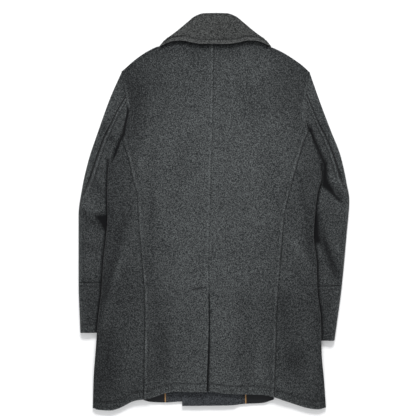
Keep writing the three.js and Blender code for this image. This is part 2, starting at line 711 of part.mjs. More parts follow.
// Side bodies: a strip from the back seam round the fold edge to the front seam
function sideGeometry(sideName) {
  const side = SIDES[sideName];
  const flatSteps = 4;
  const turnSteps = 4;
  const outer = [];
  const inner = [];
  for (let row = HEM_ROW; row <= ARMHOLE_ROW; row += 1) {
    const edge = stripPoint(side, row, 1);
    const low = undersideRise(edge.x, edge.y);
    const high = backZ(edge.x, edge.y) + WOOL;
    const radius = (high - low) / 2;
    const outerRow = [];
    const innerRow = [];
    for (let i = 0; i <= flatSteps; i += 1) {
      const p = stripPoint(side, row, i / flatSteps, radius);
      const x = i === 0 ? p.x + side.outward * SEAM_GAP : p.x;
      const z = i === flatSteps ? high - WOOL : backZ(p.x, p.y);
      outerRow.push({ x, y: p.y, z: z + WOOL });
      innerRow.push({ x, y: p.y, z });
    }
    const turn = stripPoint(side, row, 1, radius);
    for (let i = 1; i < turnSteps; i += 1) {
      const angle = Math.PI / 2 - (Math.PI * i) / turnSteps;
      for (const [list, r] of [[outerRow, radius], [innerRow, radius - WOOL]]) {
        const x = turn.x + side.outward * Math.cos(angle) * r;
        list.push({ x, y: turn.y, z: (high + low) / 2 + Math.sin(angle) * r });
      }
    }
    for (let i = flatSteps; i >= 0; i -= 1) {
      const p = stripPoint(side, row, i / flatSteps, radius);
      const x = i === 0 ? p.x + side.outward * SEAM_GAP : p.x;
      const z = i === flatSteps ? low : undersideRise(p.x, p.y);
      outerRow.push({ x, y: p.y, z });
      innerRow.push({ x, y: p.y, z: z + WOOL });
    }
    outer.push(outerRow);
    inner.push(innerRow);
  }
  return side.outward > 0 ? wallGeometry(outer, inner) : wallGeometry(inner, outer);
}

// Collar
function collarSheet() {
  const sections = [];
  for (let i = COLLAR_SECTIONS.length - 1; i >= 0; i -= 1) {
    sections.push({ ...COLLAR_SECTIONS[i], mirror: 1, end: i });
  }
  for (let i = 1; i < COLLAR_SECTIONS.length; i += 1) {
    sections.push({ ...COLLAR_SECTIONS[i], mirror: -1, end: i });
  }
  const tip = COLLAR_SECTIONS.length - 1;
  const top = [];
  const base = [];
  for (const s of sections) {
    const fold = { x: COLLAR_MIDDLE_X + s.mirror * s.foldX, y: s.foldY };
    const edge = { x: COLLAR_MIDDLE_X + s.mirror * s.edgeX, y: s.edgeY };
    const length = Math.hypot(edge.x - fold.x, edge.y - fold.y);
    const roll = COLLAR_ROLL_WIDTH / length;
    const shares = [0, roll, roll * 1.3, 0.35, 0.6, 0.82, 1];
    const topRow = [];
    const baseRow = [];
    shares.forEach((share, i) => {
      const x = lerp(fold.x, edge.x, share);
      const y = lerp(fold.y, edge.y, share);
      const lying = Math.max(COLLAR_SHEET_Z, backZ(x, Math.min(y, shoulderY(x))) + WOOL + 0.8);
      const puff = s.puff * Math.sin(Math.PI * clamp01(share)) ** 2;
      const rolled = i < 2 ? COLLAR_ROLL_Z : lying + puff;
      const under = s.end === tip ? LAPEL_THICKNESS - 1 : rolled;
      baseRow.push({ x, y, z: under });
      topRow.push({ x, y, z: lying + puff + WOOL - (i === 0 ? 1 : 0) });
    });
    top.push(topRow);
    base.push(baseRow);
  }
  return wallGeometry(top, base);
}

const mirrorOutline = (outline) => outline.map((p) => ({ x: 2 * COLLAR_MIDDLE_X - p.x, y: p.y }));

function collarGeometry() {
  const sheet = toSolid(collarSheet());
  const left = toSolid(plateGeometry(COLLAR_END, 0, LAPEL_THICKNESS));
  const right = toSolid(plateGeometry(mirrorOutline(COLLAR_END), 0, LAPEL_THICKNESS));
  return toGeometry(sheet.add(left).add(right));
}

function standGeometry() {
  const top = [];
  const base = [];
  for (const mirror of [1, -1]) {
    const from = mirror === 1 ? 4 : 1;
    const to = mirror === 1 ? 0 : 4;
    for (let i = from; mirror === 1 ? i >= to : i <= to; i += mirror === 1 ? -1 : 1) {
      const s = COLLAR_SECTIONS[i];
      const foldX = COLLAR_MIDDLE_X + mirror * s.foldX;
      const length = Math.hypot(s.edgeX - s.foldX, s.edgeY - s.foldY);
      const inset = (COLLAR_ROLL_WIDTH + STAND_TUCK) / length;
      const upperX = lerp(foldX, COLLAR_MIDDLE_X + mirror * s.edgeX, inset);
      const upperY = lerp(s.foldY, s.edgeY, inset);
      const neckX = COLLAR_MIDDLE_X + mirror * s.foldX * 0.92;
      const neckY = shoulderY(neckX) + 1;
      const points = [0, 0.5, 1].map((t) => ({ x: lerp(neckX, upperX, t), y: lerp(neckY, upperY, t) }));
      base.push(points.map((p) => ({ ...p, z: COLLAR_SHEET_Z - LAY_GAP - WOOL })));
      top.push(points.map((p) => ({ ...p, z: COLLAR_SHEET_Z - LAY_GAP })));
    }
  }
  return wallGeometry(base, top);
}

function buttonGeometry() {
  const r = BUTTON_RADIUS;
  const profile = [
    [0, 0.8],
    [r * 0.66, 0.8],
    [r * 0.78, 0],
    [r * 0.94, 0],
    [r, 1.2],
    [r, BUTTON_THICKNESS],
    [0, BUTTON_THICKNESS],
  ].map(([x, y]) => new THREE.Vector2(x, y));
  const geometry = new THREE.LatheGeometry(profile, 14);
  geometry.rotateX(Math.PI / 2);
  return geometry;
}

// Colours from the photo
const wool = () => new THREE.MeshStandardMaterial({ color: 0x46494b, roughness: 0.95, metalness: 0 });
const liningCloth = () => new THREE.MeshStandardMaterial({ color: 0x15171a, roughness: 0.6, metalness: 0 });
const bindingCloth = () => new THREE.MeshStandardMaterial({ color: 0x9a6c3a, roughness: 0.7, metalness: 0 });
const horn = () => new THREE.MeshStandardMaterial({ color: 0x1b1b1c, roughness: 0.4, metalness: 0 });

const coat = new THREE.Group();
function addPiece(name, geometry, material) {
  const mesh = new THREE.Mesh(geometry, material);
  mesh.name = name;
  coat.add(mesh);
  return mesh;
}

const everywhere = () => true;
const half = SEAM_GAP / 2;

// Back
const backLeftZ = (x, y, row, column) => backZ(x, y) + ventLift(row, column);
addPiece("back_left", panelGeometry(
  HEM_ROW, TOP_ROW, COLUMN.leftSeam, COLUMN.centre, everywhere, backLeftZ, WOOL,
  { trimLeft: half, trimRight: half },
), wool());
const underlapFrom = COLUMN.centre - VENT_UNDERLAP_COLUMNS;
addPiece("back_right", panelGeometry(
  HEM_ROW, TOP_ROW, underlapFrom, COLUMN.rightSeam,
  (row, column) => column >= COLUMN.centre || row < VENT_ROW,
  backZ, WOOL, { trimLeft: half, trimRight: half, leftLine: COLUMN.centre },
), wool());

// Sides
for (const sideName of ["left", "right"]) {
  addPiece(`side_${sideName}`, sideGeometry(sideName), wool());
}

// Fronts, with the neck opening cut along their roll lines
const outerFront = toSolid(panelGeometry(
  0, TOP_ROW, COLUMN.leftSeam, COLUMN.outerFrontEdge, everywhere, outerFrontZ, WOOL,
  { frontHem: outerFrontHemY, trimLeft: half },
));
addPiece("front_left", toGeometry(outerFront.subtract(beyondRoll(LEFT_ROLL, 1))), wool());
const underFront = toSolid(panelGeometry(
  0, TOP_ROW, COLUMN.underFrontEdge, COLUMN.rightSeam, everywhere, underFrontZ, WOOL,
  { frontHem: underFrontHemY, trimRight: half },
));
addPiece("front_right", toGeometry(underFront.subtract(beyondRoll(RIGHT_ROLL, -1))), wool());

// Facings, linings and bound edges where they show under the back hem
const onOuterFront = (x, y) => outerFrontZ(x, y) + WOOL + SEAM_GAP;
const onUnderFront = (x, y) => underFrontZ(x, y) + WOOL + SEAM_GAP;
const bound = PIPING_WIDTH / 2 + SEAM_GAP;
const trims = [
  ["facing_left", COLUMN.leftFacing, COLUMN.underFrontEdge, onOuterFront, outerFrontHemY, bound, SEAM_GAP, wool()],
  ["facing_right", COLUMN.underFrontEdge, COLUMN.rightFacing, onUnderFront, underFrontHemY, 0, bound, wool()],
  ["lining_left", COLUMN.leftSeam, COLUMN.leftFacing, onOuterFront, outerFrontHemY, 1, bound, liningCloth()],
  ["lining_right", COLUMN.rightFacing, COLUMN.rightSeam, onUnderFront, underFrontHemY, bound, 1, liningCloth()],
];
for (const [name, from, to, zOf, frontHem, trimLeft, trimRight, material] of trims) {
  addPiece(name, panelGeometry(
    0, TRIM_ROWS, from, to, everywhere, zOf, TRIM_CLOTH, { frontHem, trimLeft, trimRight },
  ), material);
}
function pipingGeometry(lineX, hemY, zOf) {
  const outer = [];
  const inner = [];
  for (const t of [0, 0.5, 1]) {
    const y = lerp(hemY(lineX), TRIM_TOP_Y, t);
    const xs = [lineX - PIPING_WIDTH / 2, lineX + PIPING_WIDTH / 2];
    inner.push(xs.map((x) => ({ x, y, z: zOf(x, y) })));
    outer.push(xs.map((x) => ({ x, y, z: zOf(x, y) + PIPING_THICKNESS })));
  }
  return wallGeometry(outer, inner);
}
addPiece("piping_left", pipingGeometry(FACING_EDGE_LEFT_X, outerFrontHemY, onOuterFront), bindingCloth());
addPiece("piping_right", pipingGeometry(FACING_EDGE_RIGHT_X, underFrontHemY, onUnderFront), bindingCloth());

// Collar and lapels
addPiece("collar_fall", collarGeometry(), wool());
addPiece("collar_stand", standGeometry(), wool());
addPiece("lapel_left", plateGeometry(LEFT_LAPEL, 0, LAPEL_THICKNESS), wool());
addPiece("lapel_right", plateGeometry(RIGHT_LAPEL, 0, LAPEL_THICKNESS), wool());

// Sleeves and cuffs
const SLEEVE_ROWS = 17;
const seamStation = CUFF_STATION - 0.0025;
const sleeveRows = Array.from({ length: SLEEVE_ROWS + 1 }, (_, i) => (seamStation * i) / SLEEVE_ROWS);
const cuffRows = [CUFF_STATION, CUFF_STATION + 0.5, CUFF_STATION + 1];
for (const sideName of ["left", "right"]) {
  const backSeam = (station) => sleeveStation(SLEEVE_STATIONS[sideName], station).backSeam;
  const upper = sleevePanel(sideName, sleeveRows, () => FRONT_SLEEVE_SEAM - 1, backSeam, 12);
  const under = sleevePanel(sideName, sleeveRows, backSeam, () => FRONT_SLEEVE_SEAM, 12);
  addPiece(`sleeve_upper_${sideName}`, upper, wool());
  addPiece(`sleeve_under_${sideName}`, under, wool());
  addPiece(`cuff_${sideName}`, cuffGeometry(sideName, cuffRows, 24), wool());
}

// Buttons, face down
let buttonNumber = 1;
for (const y of BUTTON_ROWS_Y) {
  for (const x of BUTTON_COLUMNS_X) {
    const button = addPiece(`button_${buttonNumber}`, buttonGeometry(), horn());
    button.position.set(x, y, 0);
    buttonNumber += 1;
  }
}

export default coat;
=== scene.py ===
# %% [markdown]
# A long wool pea coat, laid face down with its back up
#
# The coat lies on a pale table, as a shop lays one out to show its back. The frame holds each cut piece as
# a plain solid at its real size. Here each piece is made again as a thin, finely meshed cloth wall on the
# same sections, so that it can carry the coat's creases, welts and stitching.

# %% Load the frame
import json
import math
import bpy
import bmesh
import numpy as np
from collections import namedtuple
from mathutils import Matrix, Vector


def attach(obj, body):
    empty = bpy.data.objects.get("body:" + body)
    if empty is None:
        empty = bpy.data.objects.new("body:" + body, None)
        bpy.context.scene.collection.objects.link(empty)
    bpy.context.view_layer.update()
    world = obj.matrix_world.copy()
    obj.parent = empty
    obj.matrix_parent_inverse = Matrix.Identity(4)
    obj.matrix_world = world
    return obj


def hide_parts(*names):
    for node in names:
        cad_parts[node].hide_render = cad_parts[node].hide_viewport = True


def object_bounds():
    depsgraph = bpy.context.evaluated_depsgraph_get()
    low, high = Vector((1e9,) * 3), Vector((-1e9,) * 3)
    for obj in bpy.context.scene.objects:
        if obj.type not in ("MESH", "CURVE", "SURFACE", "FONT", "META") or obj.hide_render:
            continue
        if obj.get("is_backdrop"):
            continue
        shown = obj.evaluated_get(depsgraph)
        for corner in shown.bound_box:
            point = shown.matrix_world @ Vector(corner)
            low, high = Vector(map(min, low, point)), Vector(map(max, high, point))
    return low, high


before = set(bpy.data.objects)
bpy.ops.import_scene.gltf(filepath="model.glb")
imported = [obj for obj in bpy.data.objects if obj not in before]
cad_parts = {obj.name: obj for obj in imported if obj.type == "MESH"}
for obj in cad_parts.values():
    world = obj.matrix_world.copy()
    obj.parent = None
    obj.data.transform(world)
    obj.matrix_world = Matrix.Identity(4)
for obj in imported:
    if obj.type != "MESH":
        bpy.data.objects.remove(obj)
CAD_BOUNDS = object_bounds()
print("frame nodes:", len(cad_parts))

# %% [markdown]
# Sections of the coat
#
# A pattern cutter draws a coat from a few levels: hem, vent, waist, armhole and shoulder. The same levels
# are rows of a short table here, in millimetres, and a smooth curve that never overshoots runs through each
# column. Reading a row as a level and a column as a seam keeps the drawing easy to change.

# %% Sizes and tables
MM = 0.001
WOOL = 3.0
SLEEVE_WOOL = 2.8
LAY_GAP = 0.4
SEAM_GAP = 0.3
SEAM_MEET, ARMHOLE_MEET = 0.5, 1.2
ARMHOLE_LEFT_Y, ARMHOLE_RIGHT_Y = 178, 193
UNDERARM_LEFT_Y, UNDERARM_RIGHT_Y = 108, 98
VENT_TOP_Y = -184
OUTER_FRONT_EDGE_X, UNDER_FRONT_EDGE_X = 48, -77
FRONT_STEP_WIDTH = 15
RIGHT_RISE_SHIFT = 24
FACING_LEFT_X, FACING_RIGHT_X = -118, 77
HEM_ROW, VENT_ROW, ARMHOLE_ROW, TOP_ROW = 1, 9, 20, 28


def table(names, *rows):
    """A table as a dict of columns, from a line of column names and one line per row."""
    return {name: np.array([row[i] for row in rows], float) for i, name in enumerate(names.split())}


BODY = table(
    "y left_edge left_seam centre right_seam right_edge",
    (-482, -294, -172, -18.5, 144, 272),
    (-411, -292, -169, -17, 147, 267),
    (-334, -286, -168, -14, 149, 260),
    (-262, -280.5, -167, -12.3, 151, 258.5),
    (-190, -272, -168.5, -12.8, 154.5, 250),
    (-120, -267.5, -174, -13.7, 160, 247.8),
    (-60, -261, -179, -12.3, 165, 241),
    (-10, -257.5, -182, -10.8, 169.5, 244),
    (40, -258.4, -185.2, -9.6, 180, 249.7),
    (84, -257, -196.8, -8.4, 191.5, 259.6),
    (125, -255.5, -205, -7.2, 203, 260),
    (178, -255, -219.8, -5, 220.5, 260),
    (193, -255, -219, -4.4, 227, 260),
    (445, -255, -219, -1, 227, 260),
)
ARMHOLE = table(
    "y left right",
    (178, -219.8, 230), (193, -219, 227), (219, -214.5, 222.2), (234, -211.5, 218.5), (255, -210, 220),
    (277, -213, 223), (300, -217.5, 227), (340, -223, 232), (380, -229, 238),
)
SHOULDERS = table(
    "x y",
    (-240, 326), (-223, 340), (-188, 370), (-155, 391), (-134, 400), (-123, 401), (-111, 411), (-82, 432),
    (-43, 440), (0, 441), (43, 440), (82, 432), (116, 411), (128, 401), (139, 398), (208, 359),
    (232, 337.5), (250, 320),
)
BACK_HEM = table(
    "x y",
    (-296, -470), (-284, -478.8), (-251, -481), (-232, -476.4), (-190, -457), (-164, -453.4), (-111, -437.7),
    (-92, -435.3), (-17, -435.3), (36, -441), (116, -443), (140, -447.4), (181, -461), (237, -477),
    (253, -478.3), (274, -472),
)
OUTER_HEM = table("x y", (-173, -456), (-152, -461), (-118, -462.4), (-83, -460.2), (60, -458))
UNDER_HEM = table("x y", (-80, -470.3), (36, -469), (77, -465.5), (116, -463.6), (146, -455))
SIDE_RISE = table(
    "y rise",
    (-482, 0), (-450, 0.3), (-400, 4), (-350, 9.4), (-330, 10.2), (60, 10.2), (110, 9.6), (145, 9), (178, 8),
    (205, 6), (245, 1.8), (285, 0), (445, 0),
)
TUCK = table(
    "y left right",
    (-482, -184, 157), (-293, -183, 158), (-175, -176, 174), (-97, -169, 171), (-44, -167, 169),
    (0, -169, 171), (38, -176, 179), (72, -194, 200), (100, -212, 220), (145, -224, 232), (445, -224, 232),
)
CROWN = table(
    "y height",
    (-482, 8.2), (-400, 10.5), (-330, 13), (-200, 14.2), (0, 14.6), (150, 14), (250, 12), (350, 9.4),
    (445, 8.2),
)


def curve(xs, ys):
    """A smooth curve through two columns of a table that never overshoots them."""
    rise = np.diff(ys) / np.diff(xs)
    slopes = np.empty_like(ys)
    slopes[0], slopes[-1] = rise[0], rise[-1]
    product = rise[:-1] * rise[1:]
    total = np.where(product > 0, rise[:-1] + rise[1:], 1)
    slopes[1:-1] = np.where(product > 0, 2 * product / total, 0)

    def at(value):
        x = np.clip(value, xs[0], xs[-1])
        i = np.clip(np.searchsorted(xs, x, side="left") - 1, 0, len(xs) - 2)
        span = xs[i + 1] - xs[i]
        t = (x - xs[i]) / span
        hold = (1 + 2 * t) * (1 - t) ** 2 * ys[i] + t * t * (3 - 2 * t) * ys[i + 1]
        return hold + span * (t * (1 - t) ** 2 * slopes[i] - t * t * (1 - t) * slopes[i + 1])

    return at


def curves(columns):
    """A curve for each column of a table, by its name, over the first column."""
    given, *others = columns
    return {name: curve(columns[given], columns[name]) for name in others}


def read(columns, value):
    """All the other columns of a table at a value of its first one."""
    return {name: at(value) for name, at in curves(columns).items()}


left_edge, left_seam, centre_seam, right_seam, right_edge = curves(BODY).values()
left_armhole, right_armhole = curves(ARMHOLE).values()
left_tuck, right_tuck = curves(TUCK).values()
side_rise, back_crown = curves(SIDE_RISE)["rise"], curves(CROWN)["height"]
shoulder_y, back_hem_y, outer_hem_y, under_hem_y = [
    curves(columns)["y"] for columns in (SHOULDERS, BACK_HEM, OUTER_HEM, UNDER_HEM)
]
print("half chest, mm:", round(float(right_edge(90) - left_edge(90))))

# %% [markdown]
# Where cloth lies on cloth
#
# The flat coat is a stack. The sleeves, the lapels and the buttons lie on the table, the fronts lie on
# them, and the back lies on the fronts. One function gives the height of each layer, so that the layers
# follow each other and never cross.

# %% Heights of the layers
def smooth(low, high, value):
    """A soft step: 0 below low, 1 above high."""
    t = np.clip((value - low) / (high - low), 0, 1)
    return t * t * (3 - 2 * t)


def fall(low, high, value):
    """The soft step turned round: 1 below low, 0 above high."""
    return 1 - smooth(low, high, value)


def bump(distance, width):
    """A soft bump, 1 where the distance is 0."""
    return np.exp(-((distance / width) ** 2))


def mix(a, b, t):
    """a where t is 0, b where t is 1."""
    return a + (b - a) * t


SLEEVE_DROP = (24, 86)
UNDERSIDE_LIFT, TRIM_LIFT = 3.9, 1.8


def underside_rise(x, y):
    """How far the sleeves, lapels and buttons lift the fronts off the table."""
    beyond = np.where(x < 0, x - left_tuck(y), right_tuck(y) - x)
    rise = side_rise(np.where(x < 0, y, y - RIGHT_RISE_SHIFT))
    over_sleeve = rise * fall(*SLEEVE_DROP, beyond)
    to_lapels = smooth(100, 160, y)
    half = mix(62, 172, to_lapels)
    from_middle = np.abs(x - mix(-13, 3, to_lapels))
    over_middle = 1 - smooth(half, half + 44, from_middle)
    return np.maximum(over_sleeve, UNDERSIDE_LIFT * over_middle * smooth(-250, -190, y))


def overlap_lift(x, y):
    """How far the outer front lifts the one under it."""
    step = 1 - np.clip((x - OUTER_FRONT_EDGE_X) / FRONT_STEP_WIDTH, 0, 1)
    return (WOOL + LAY_GAP) * step * fall(258, 330, y)


def stack_top(x, y):
    """Height of the fronts' upper face, on which the back lies."""
    on_under = np.clip((x - UNDER_FRONT_EDGE_X + FRONT_STEP_WIDTH) / FRONT_STEP_WIDTH, 0, 1)
    trim = TRIM_LIFT * fall(-360, -320, y)
    return underside_rise(x, y) + WOOL + overlap_lift(x, y) * on_under + trim


BACK_FOLDS = table(
    "x0 y0 x1 y1 bend width height",
    (-200, 28, -268, -242, 6, 13, -2.6),
    (-213, -92, -266, -283, 5, 9, 3.4),
    (-190, 330, -194, 173, -8, 22, -1.8),
    (203, 101, 234, -129, -6, 12, -2.6),
    (182, -61, 230, -145, -5, 9, 3.2),
    (164, -182, 208, -394, 10, 26, -2.6),
    (-122, -189, -121, -440, 5, 22, -2.8),
    (70, -190, 77, -430, -4, 18, -1.8),
    (-176, 150, -170, -60, 5, 12, 2.0),
    (-150, 60, -140, -240, 6, 15, -2.2),
    (62, -24, 168, -60, 6, 7, -1.0),
    (58, -12, 150, -36, 8, 12, 0.8),
    (211, 290, 214, 268, 2, 4, -1.0),
    (198, 262, 206, 200, 4, 9, -1.2),
    (-150, 268, -160, 150, 6, 14, 1.2),
    (130, 270, 150, 140, -7, 18, 1.2),
    (-60, 250, -70, 60, 5, 30, -0.9),
    (105, -330, 118, -440, 4, 14, 1.2),
    (-205, -330, -214, -450, 4, 16, 1.6),
    (222, -260, 238, -420, -6, 13, 2.0),
    (-245, -300, -262, -430, 4, 12, -1.4),
)


def fold_relief(folds, x, y):
    """Ridges and troughs along gently bent lines, which fade out at both ends."""
    relief = np.zeros(np.broadcast(x, y).shape)
    for x0, y0, x1, y1, bend, width, height in zip(*folds.values()):
        dx, dy = x1 - x0, y1 - y0
        length = math.hypot(dx, dy)
        along = ((x - x0) * dx + (y - y0) * dy) / length**2
        inside = np.clip(along, 0, 1)
        across = ((x - x0) * dy - (y - y0) * dx) / length - bend * np.sin(math.pi * inside)
        fade = smooth(-0.12, 0.22, along) * fall(0.78, 1.12, along)
        uneven = 1 + 0.22 * np.sin(7 * along + x0) + 0.12 * np.sin(17 * along + y0)
        relief = relief + height * fade * uneven * bump(across, width * (0.85 + 0.3 * inside))
    return relief


def cloth_waver(x, y, size):
    """The slight unevenness of a thick cloth that has been worn and laid down."""
    a = np.sin(x / 41 + 1.3 * np.sin(y / 67)) * np.sin(y / 53 + 0.8)
    b = np.sin((x + y) / 29 + 2.1) * np.sin((x - 0.6 * y) / 37 + 0.4)
    c = np.sin(x / 15 + 0.9 * np.sin(y / 31)) * np.sin(y / 19 + 1.7)
    return size * (0.5 * a + 0.35 * b + 0.15 * c)


WELT_WIDTH = 11.0
HEM_STITCH, CUFF_HEM_STITCH = 20, 19
SIDE_HEM_Y = -455


def welt(distance, height=0.8):
    """A welt seam: the seam itself is a furrow, the stitched band beside it stands up a little."""
    band = smooth(0.2, 2.2, distance) * fall(WELT_WIDTH - 1.5, WELT_WIDTH + 0.8, distance)
    stitch = bump(distance - WELT_WIDTH, 1.1)
    furrow = bump(distance, 1.6)
    return height * band - 0.55 * stitch - 1.3 * furrow


def left_line(y):
    """The back's left outline: the side-back seam, and the armhole above it."""
    return np.where(y < ARMHOLE_LEFT_Y, left_seam(y), left_armhole(y))


def right_line(y):
    return np.where(y < ARMHOLE_RIGHT_Y, right_seam(y), right_armhole(y))


def seam_distance(x, y):
    """Distance from the nearer side-back seam or armhole, towards the middle of the back."""
    return np.minimum(x - left_line(y), right_line(y) - x)


def across_share(x, y):
    """0 on the coat's middle line, 1 on its fold edges."""
    half = (right_edge(y) - left_edge(y)) / 2
    return np.clip(np.abs(x - (right_edge(y) + left_edge(y)) / 2) / half, 0, 1)


def back_z(x, y):
    """Under face of the back, and of the sides' upper layer."""
    across = across_share(x, y)
    lying = stack_top(x, y) + LAY_GAP
    loft = 1.8 * (1 - across**8) * fall(120, 230, y) * smooth(-480, -420, y)
    rest = np.maximum(lying + loft, back_crown(y) * (1 - across**3))
    relief = fold_relief(BACK_FOLDS, x, y) + cloth_waver(x, y, 0.7)
    return np.maximum(lying, rest + relief * (1 - across**10))


print("back's height over the table at its middle, mm:", round(float(back_z(0.0, 0.0)) + WOOL, 1))

# %% [markdown]
# Cloth on a grid
#
# A woven cloth has two directions, so its mesh has rows and columns too. The lines that run from hem to
# shoulder are the coat's own seams and edges, and the cells between them are shared out evenly. A panel is
# a stretch of that grid. It is made as a single skin first, cut where its edge runs free, then given its
# thickness and a soft rounding along its cut edges.

# %% Grid of the body and the wall helpers
def upright(x):
    """A line that stays at one x."""
    return lambda y: 0 * y + x


LINES = (
    (0, left_line), (3, upright(FACING_LEFT_X)), (5, upright(UNDER_FRONT_EDGE_X)), (8, centre_seam),
    (11, upright(OUTER_FRONT_EDGE_X)), (12, upright(OUTER_FRONT_EDGE_X + FRONT_STEP_WIDTH)),
    (13, upright(FACING_RIGHT_X)), (16, right_line),
)
LEFT_COLUMN, CENTRE_COLUMN, RIGHT_COLUMN = 0, 8, 16
SETTLE_ROUNDS = 6


def column_x(column, y):
    """x of a column of the body's grid at a height y."""
    x = np.zeros_like(y)
    for (c0, line0), (c1, line1) in zip(LINES, LINES[1:]):
        t = (column - c0) / (c1 - c0)
        inside = (t >= 0) & (t <= 1)
        x = np.where(inside, mix(line0(y), line1(y), np.clip(t, 0, 1)), x)
    return x


def row_y(row, x, armhole_y, hem_y):
    """y of a row of the body's grid at x, between the hem, the vent, the armhole and the shoulder."""
    below = mix(hem_y, VENT_TOP_Y, (row - HEM_ROW) / (VENT_ROW - HEM_ROW))
    middle = mix(VENT_TOP_Y, armhole_y, (row - VENT_ROW) / (ARMHOLE_ROW - VENT_ROW))
    above = mix(armhole_y, shoulder_y(x), (row - ARMHOLE_ROW) / (TOP_ROW - ARMHOLE_ROW))
    return np.where(row <= VENT_ROW, below, np.where(row <= ARMHOLE_ROW, middle, above))


def panel_points(rows, columns, front_hem=None):
    """x and y of the body's grid at these rows and columns."""
    row, column = np.meshgrid(rows, columns, indexing="ij")
    x = column_x(column, 0.0 * column)
    y = 0.0 * x
    low, high = float(left_seam(ARMHOLE_LEFT_Y)), float(right_seam(ARMHOLE_RIGHT_Y))
    for _ in range(SETTLE_ROUNDS):
        armhole_y = mix(ARMHOLE_LEFT_Y, ARMHOLE_RIGHT_Y, np.clip((x - low) / (high - low), 0, 1))
        hem = back_hem_y(x)
        y = row_y(np.maximum(row, HEM_ROW), x, armhole_y, hem)
        if front_hem is not None:
            drop = np.minimum(front_hem(x), hem - 1)
            y = np.where(row < HEM_ROW, mix(drop, hem, row), y)
        x = column_x(column, y)
    return x, y


Side = namedtuple("Side", "seam edge outward armhole_y underarm_y roundness")
SIDES = {
    "left": Side(left_seam, left_edge, -1, ARMHOLE_LEFT_Y, UNDERARM_LEFT_Y, 1.2),
    "right": Side(right_seam, right_edge, 1, ARMHOLE_RIGHT_Y, UNDERARM_RIGHT_Y, 2.2),
}


def strip_points(side, row, share, inset=0.0):
    """A side body's point: share runs from its seam, 0, to its fold edge, 1."""
    seam, edge, outward, armhole_y, underarm_y, roundness = SIDES[side]
    top = mix(armhole_y, underarm_y, share**roundness)
    x = edge(0.0 * row) + 0.0 * share
    y = 0.0 * x
    for _ in range(SETTLE_ROUNDS):
        y = row_y(row, x, top, back_hem_y(x))
        x = mix(seam(y), edge(y) - outward * inset, share)
    return x, y


# Name of the per-point value that paints shade into the cloth's colour above 0 and highlight below 0.
PAINTED_SHADE_ATTRIBUTE = "painted_shade_and_highlight"


def xyz(x, y, z):
    """Points from their three coordinates."""
    return np.stack(np.broadcast_arrays(x, y, z), -1)


def new_object(name, data):
    """An object at the origin that holds this data."""
    made = bpy.data.objects.new(name, data)
    bpy.context.scene.collection.objects.link(made)
    return made


def mesh_object(name, vertices, faces, shade=None):
    """A mesh object at the origin from points in millimetres, with an optional painted shade value per
    point.
    """
    mesh = bpy.data.meshes.new(name)
    mesh.from_pydata((np.asarray(vertices, float) * MM).tolist(), [], faces)
    values = np.zeros(len(mesh.vertices), np.float32) if shade is None else np.asarray(shade, np.float32)
    mesh.attributes.new(PAINTED_SHADE_ATTRIBUTE, "FLOAT", "POINT").data.foreach_set("value", values.ravel())
    mesh.polygons.foreach_set("use_smooth", np.ones(len(mesh.polygons), bool))
    return new_object(name, mesh)


def bake_modifiers(piece):
    """Turns the piece with its modifiers into a plain mesh."""
    bpy.context.view_layer.update()
    evaluated = piece.evaluated_get(bpy.context.evaluated_depsgraph_get())
    mesh = bpy.data.meshes.new_from_object(evaluated)
    piece.modifiers.clear()
    old = piece.data
    piece.data = mesh
    bpy.data.meshes.remove(old)
    return piece


def soften_edges(piece, width=0.9, segments=2):
    bevel = piece.modifiers.new("soft_edge", "BEVEL")
    bevel.width = width * MM
    bevel.segments = segments
    bevel.limit_method = "ANGLE"
    bevel.angle_limit = math.radians(50)
    return piece


def grid_measures(x, y, z):
    """Widest row, longest column and area of a grid of points, in metres."""
    p = xyz(x, y, z) * MM
    across = np.linalg.norm(np.diff(p, axis=1), axis=-1).sum(1).max()
    along = np.linalg.norm(np.diff(p, axis=0), axis=-1).sum(0).max()
    a, b = p[1:, 1:] - p[:-1, :-1], p[1:, :-1] - p[:-1, 1:]
    return float(across), float(along), float(np.linalg.norm(np.cross(a, b), axis=-1).sum() / 2)


def measured(piece, width, length, area):
    """Notes how large a piece of cloth was cut, in metres and square metres."""
    print(f"{piece.name}: {len(piece.data.polygons)} faces, {width:.3f} x {length:.3f} m, {area:.4f} m2")
    return piece


def grid_quads(index):
    """The four corners of every cell of a grid of point numbers."""
    return np.stack([index[:-1, :-1], index[:-1, 1:], index[1:, 1:], index[1:, :-1]], -1)


def cloth_panel(name, x, y, z, thickness, keep=None, cut=None, shade=None, bevel=0.9):
    """A cloth wall whose upper face passes through a grid of points, turned so that its skin faces up."""
    rows, columns = x.shape
    index = np.arange(rows * columns).reshape(rows, columns)
    quads = grid_quads(index)
    quads = quads[keep] if keep is not None else quads.reshape(-1, 4)
    up = np.cross([x[0, 1] - x[0, 0], y[0, 1] - y[0, 0], 0], [x[1, 0] - x[0, 0], y[1, 0] - y[0, 0], 0])[2]
    quads = quads if up > 0 else quads[:, ::-1]
    piece = mesh_object(name, xyz(x, y, z).reshape(-1, 3), quads.tolist(), shade)
    work = bmesh.new()
    work.from_mesh(piece.data)
    loose = [v for v in work.verts if not v.link_faces]
    bmesh.ops.delete(work, geom=loose, context="VERTS")
    if cut is not None:
        place, normal = cut
        everything = work.verts[:] + work.edges[:] + work.faces[:]
        middle = [v * MM for v in place]
        bmesh.ops.bisect_plane(work, geom=everything, plane_co=middle, plane_no=normal, clear_outer=True)
    area = sum(face.calc_area() for face in work.faces)
    work.to_mesh(piece.data)
    work.free()
    wall = piece.modifiers.new("thickness", "SOLIDIFY")
    wall.thickness = thickness * MM
    wall.offset = -1
    soften_edges(piece, bevel)
    width, length, _ = grid_measures(x, y, z)
    return measured(bake_modifiers(piece), width, length, area)


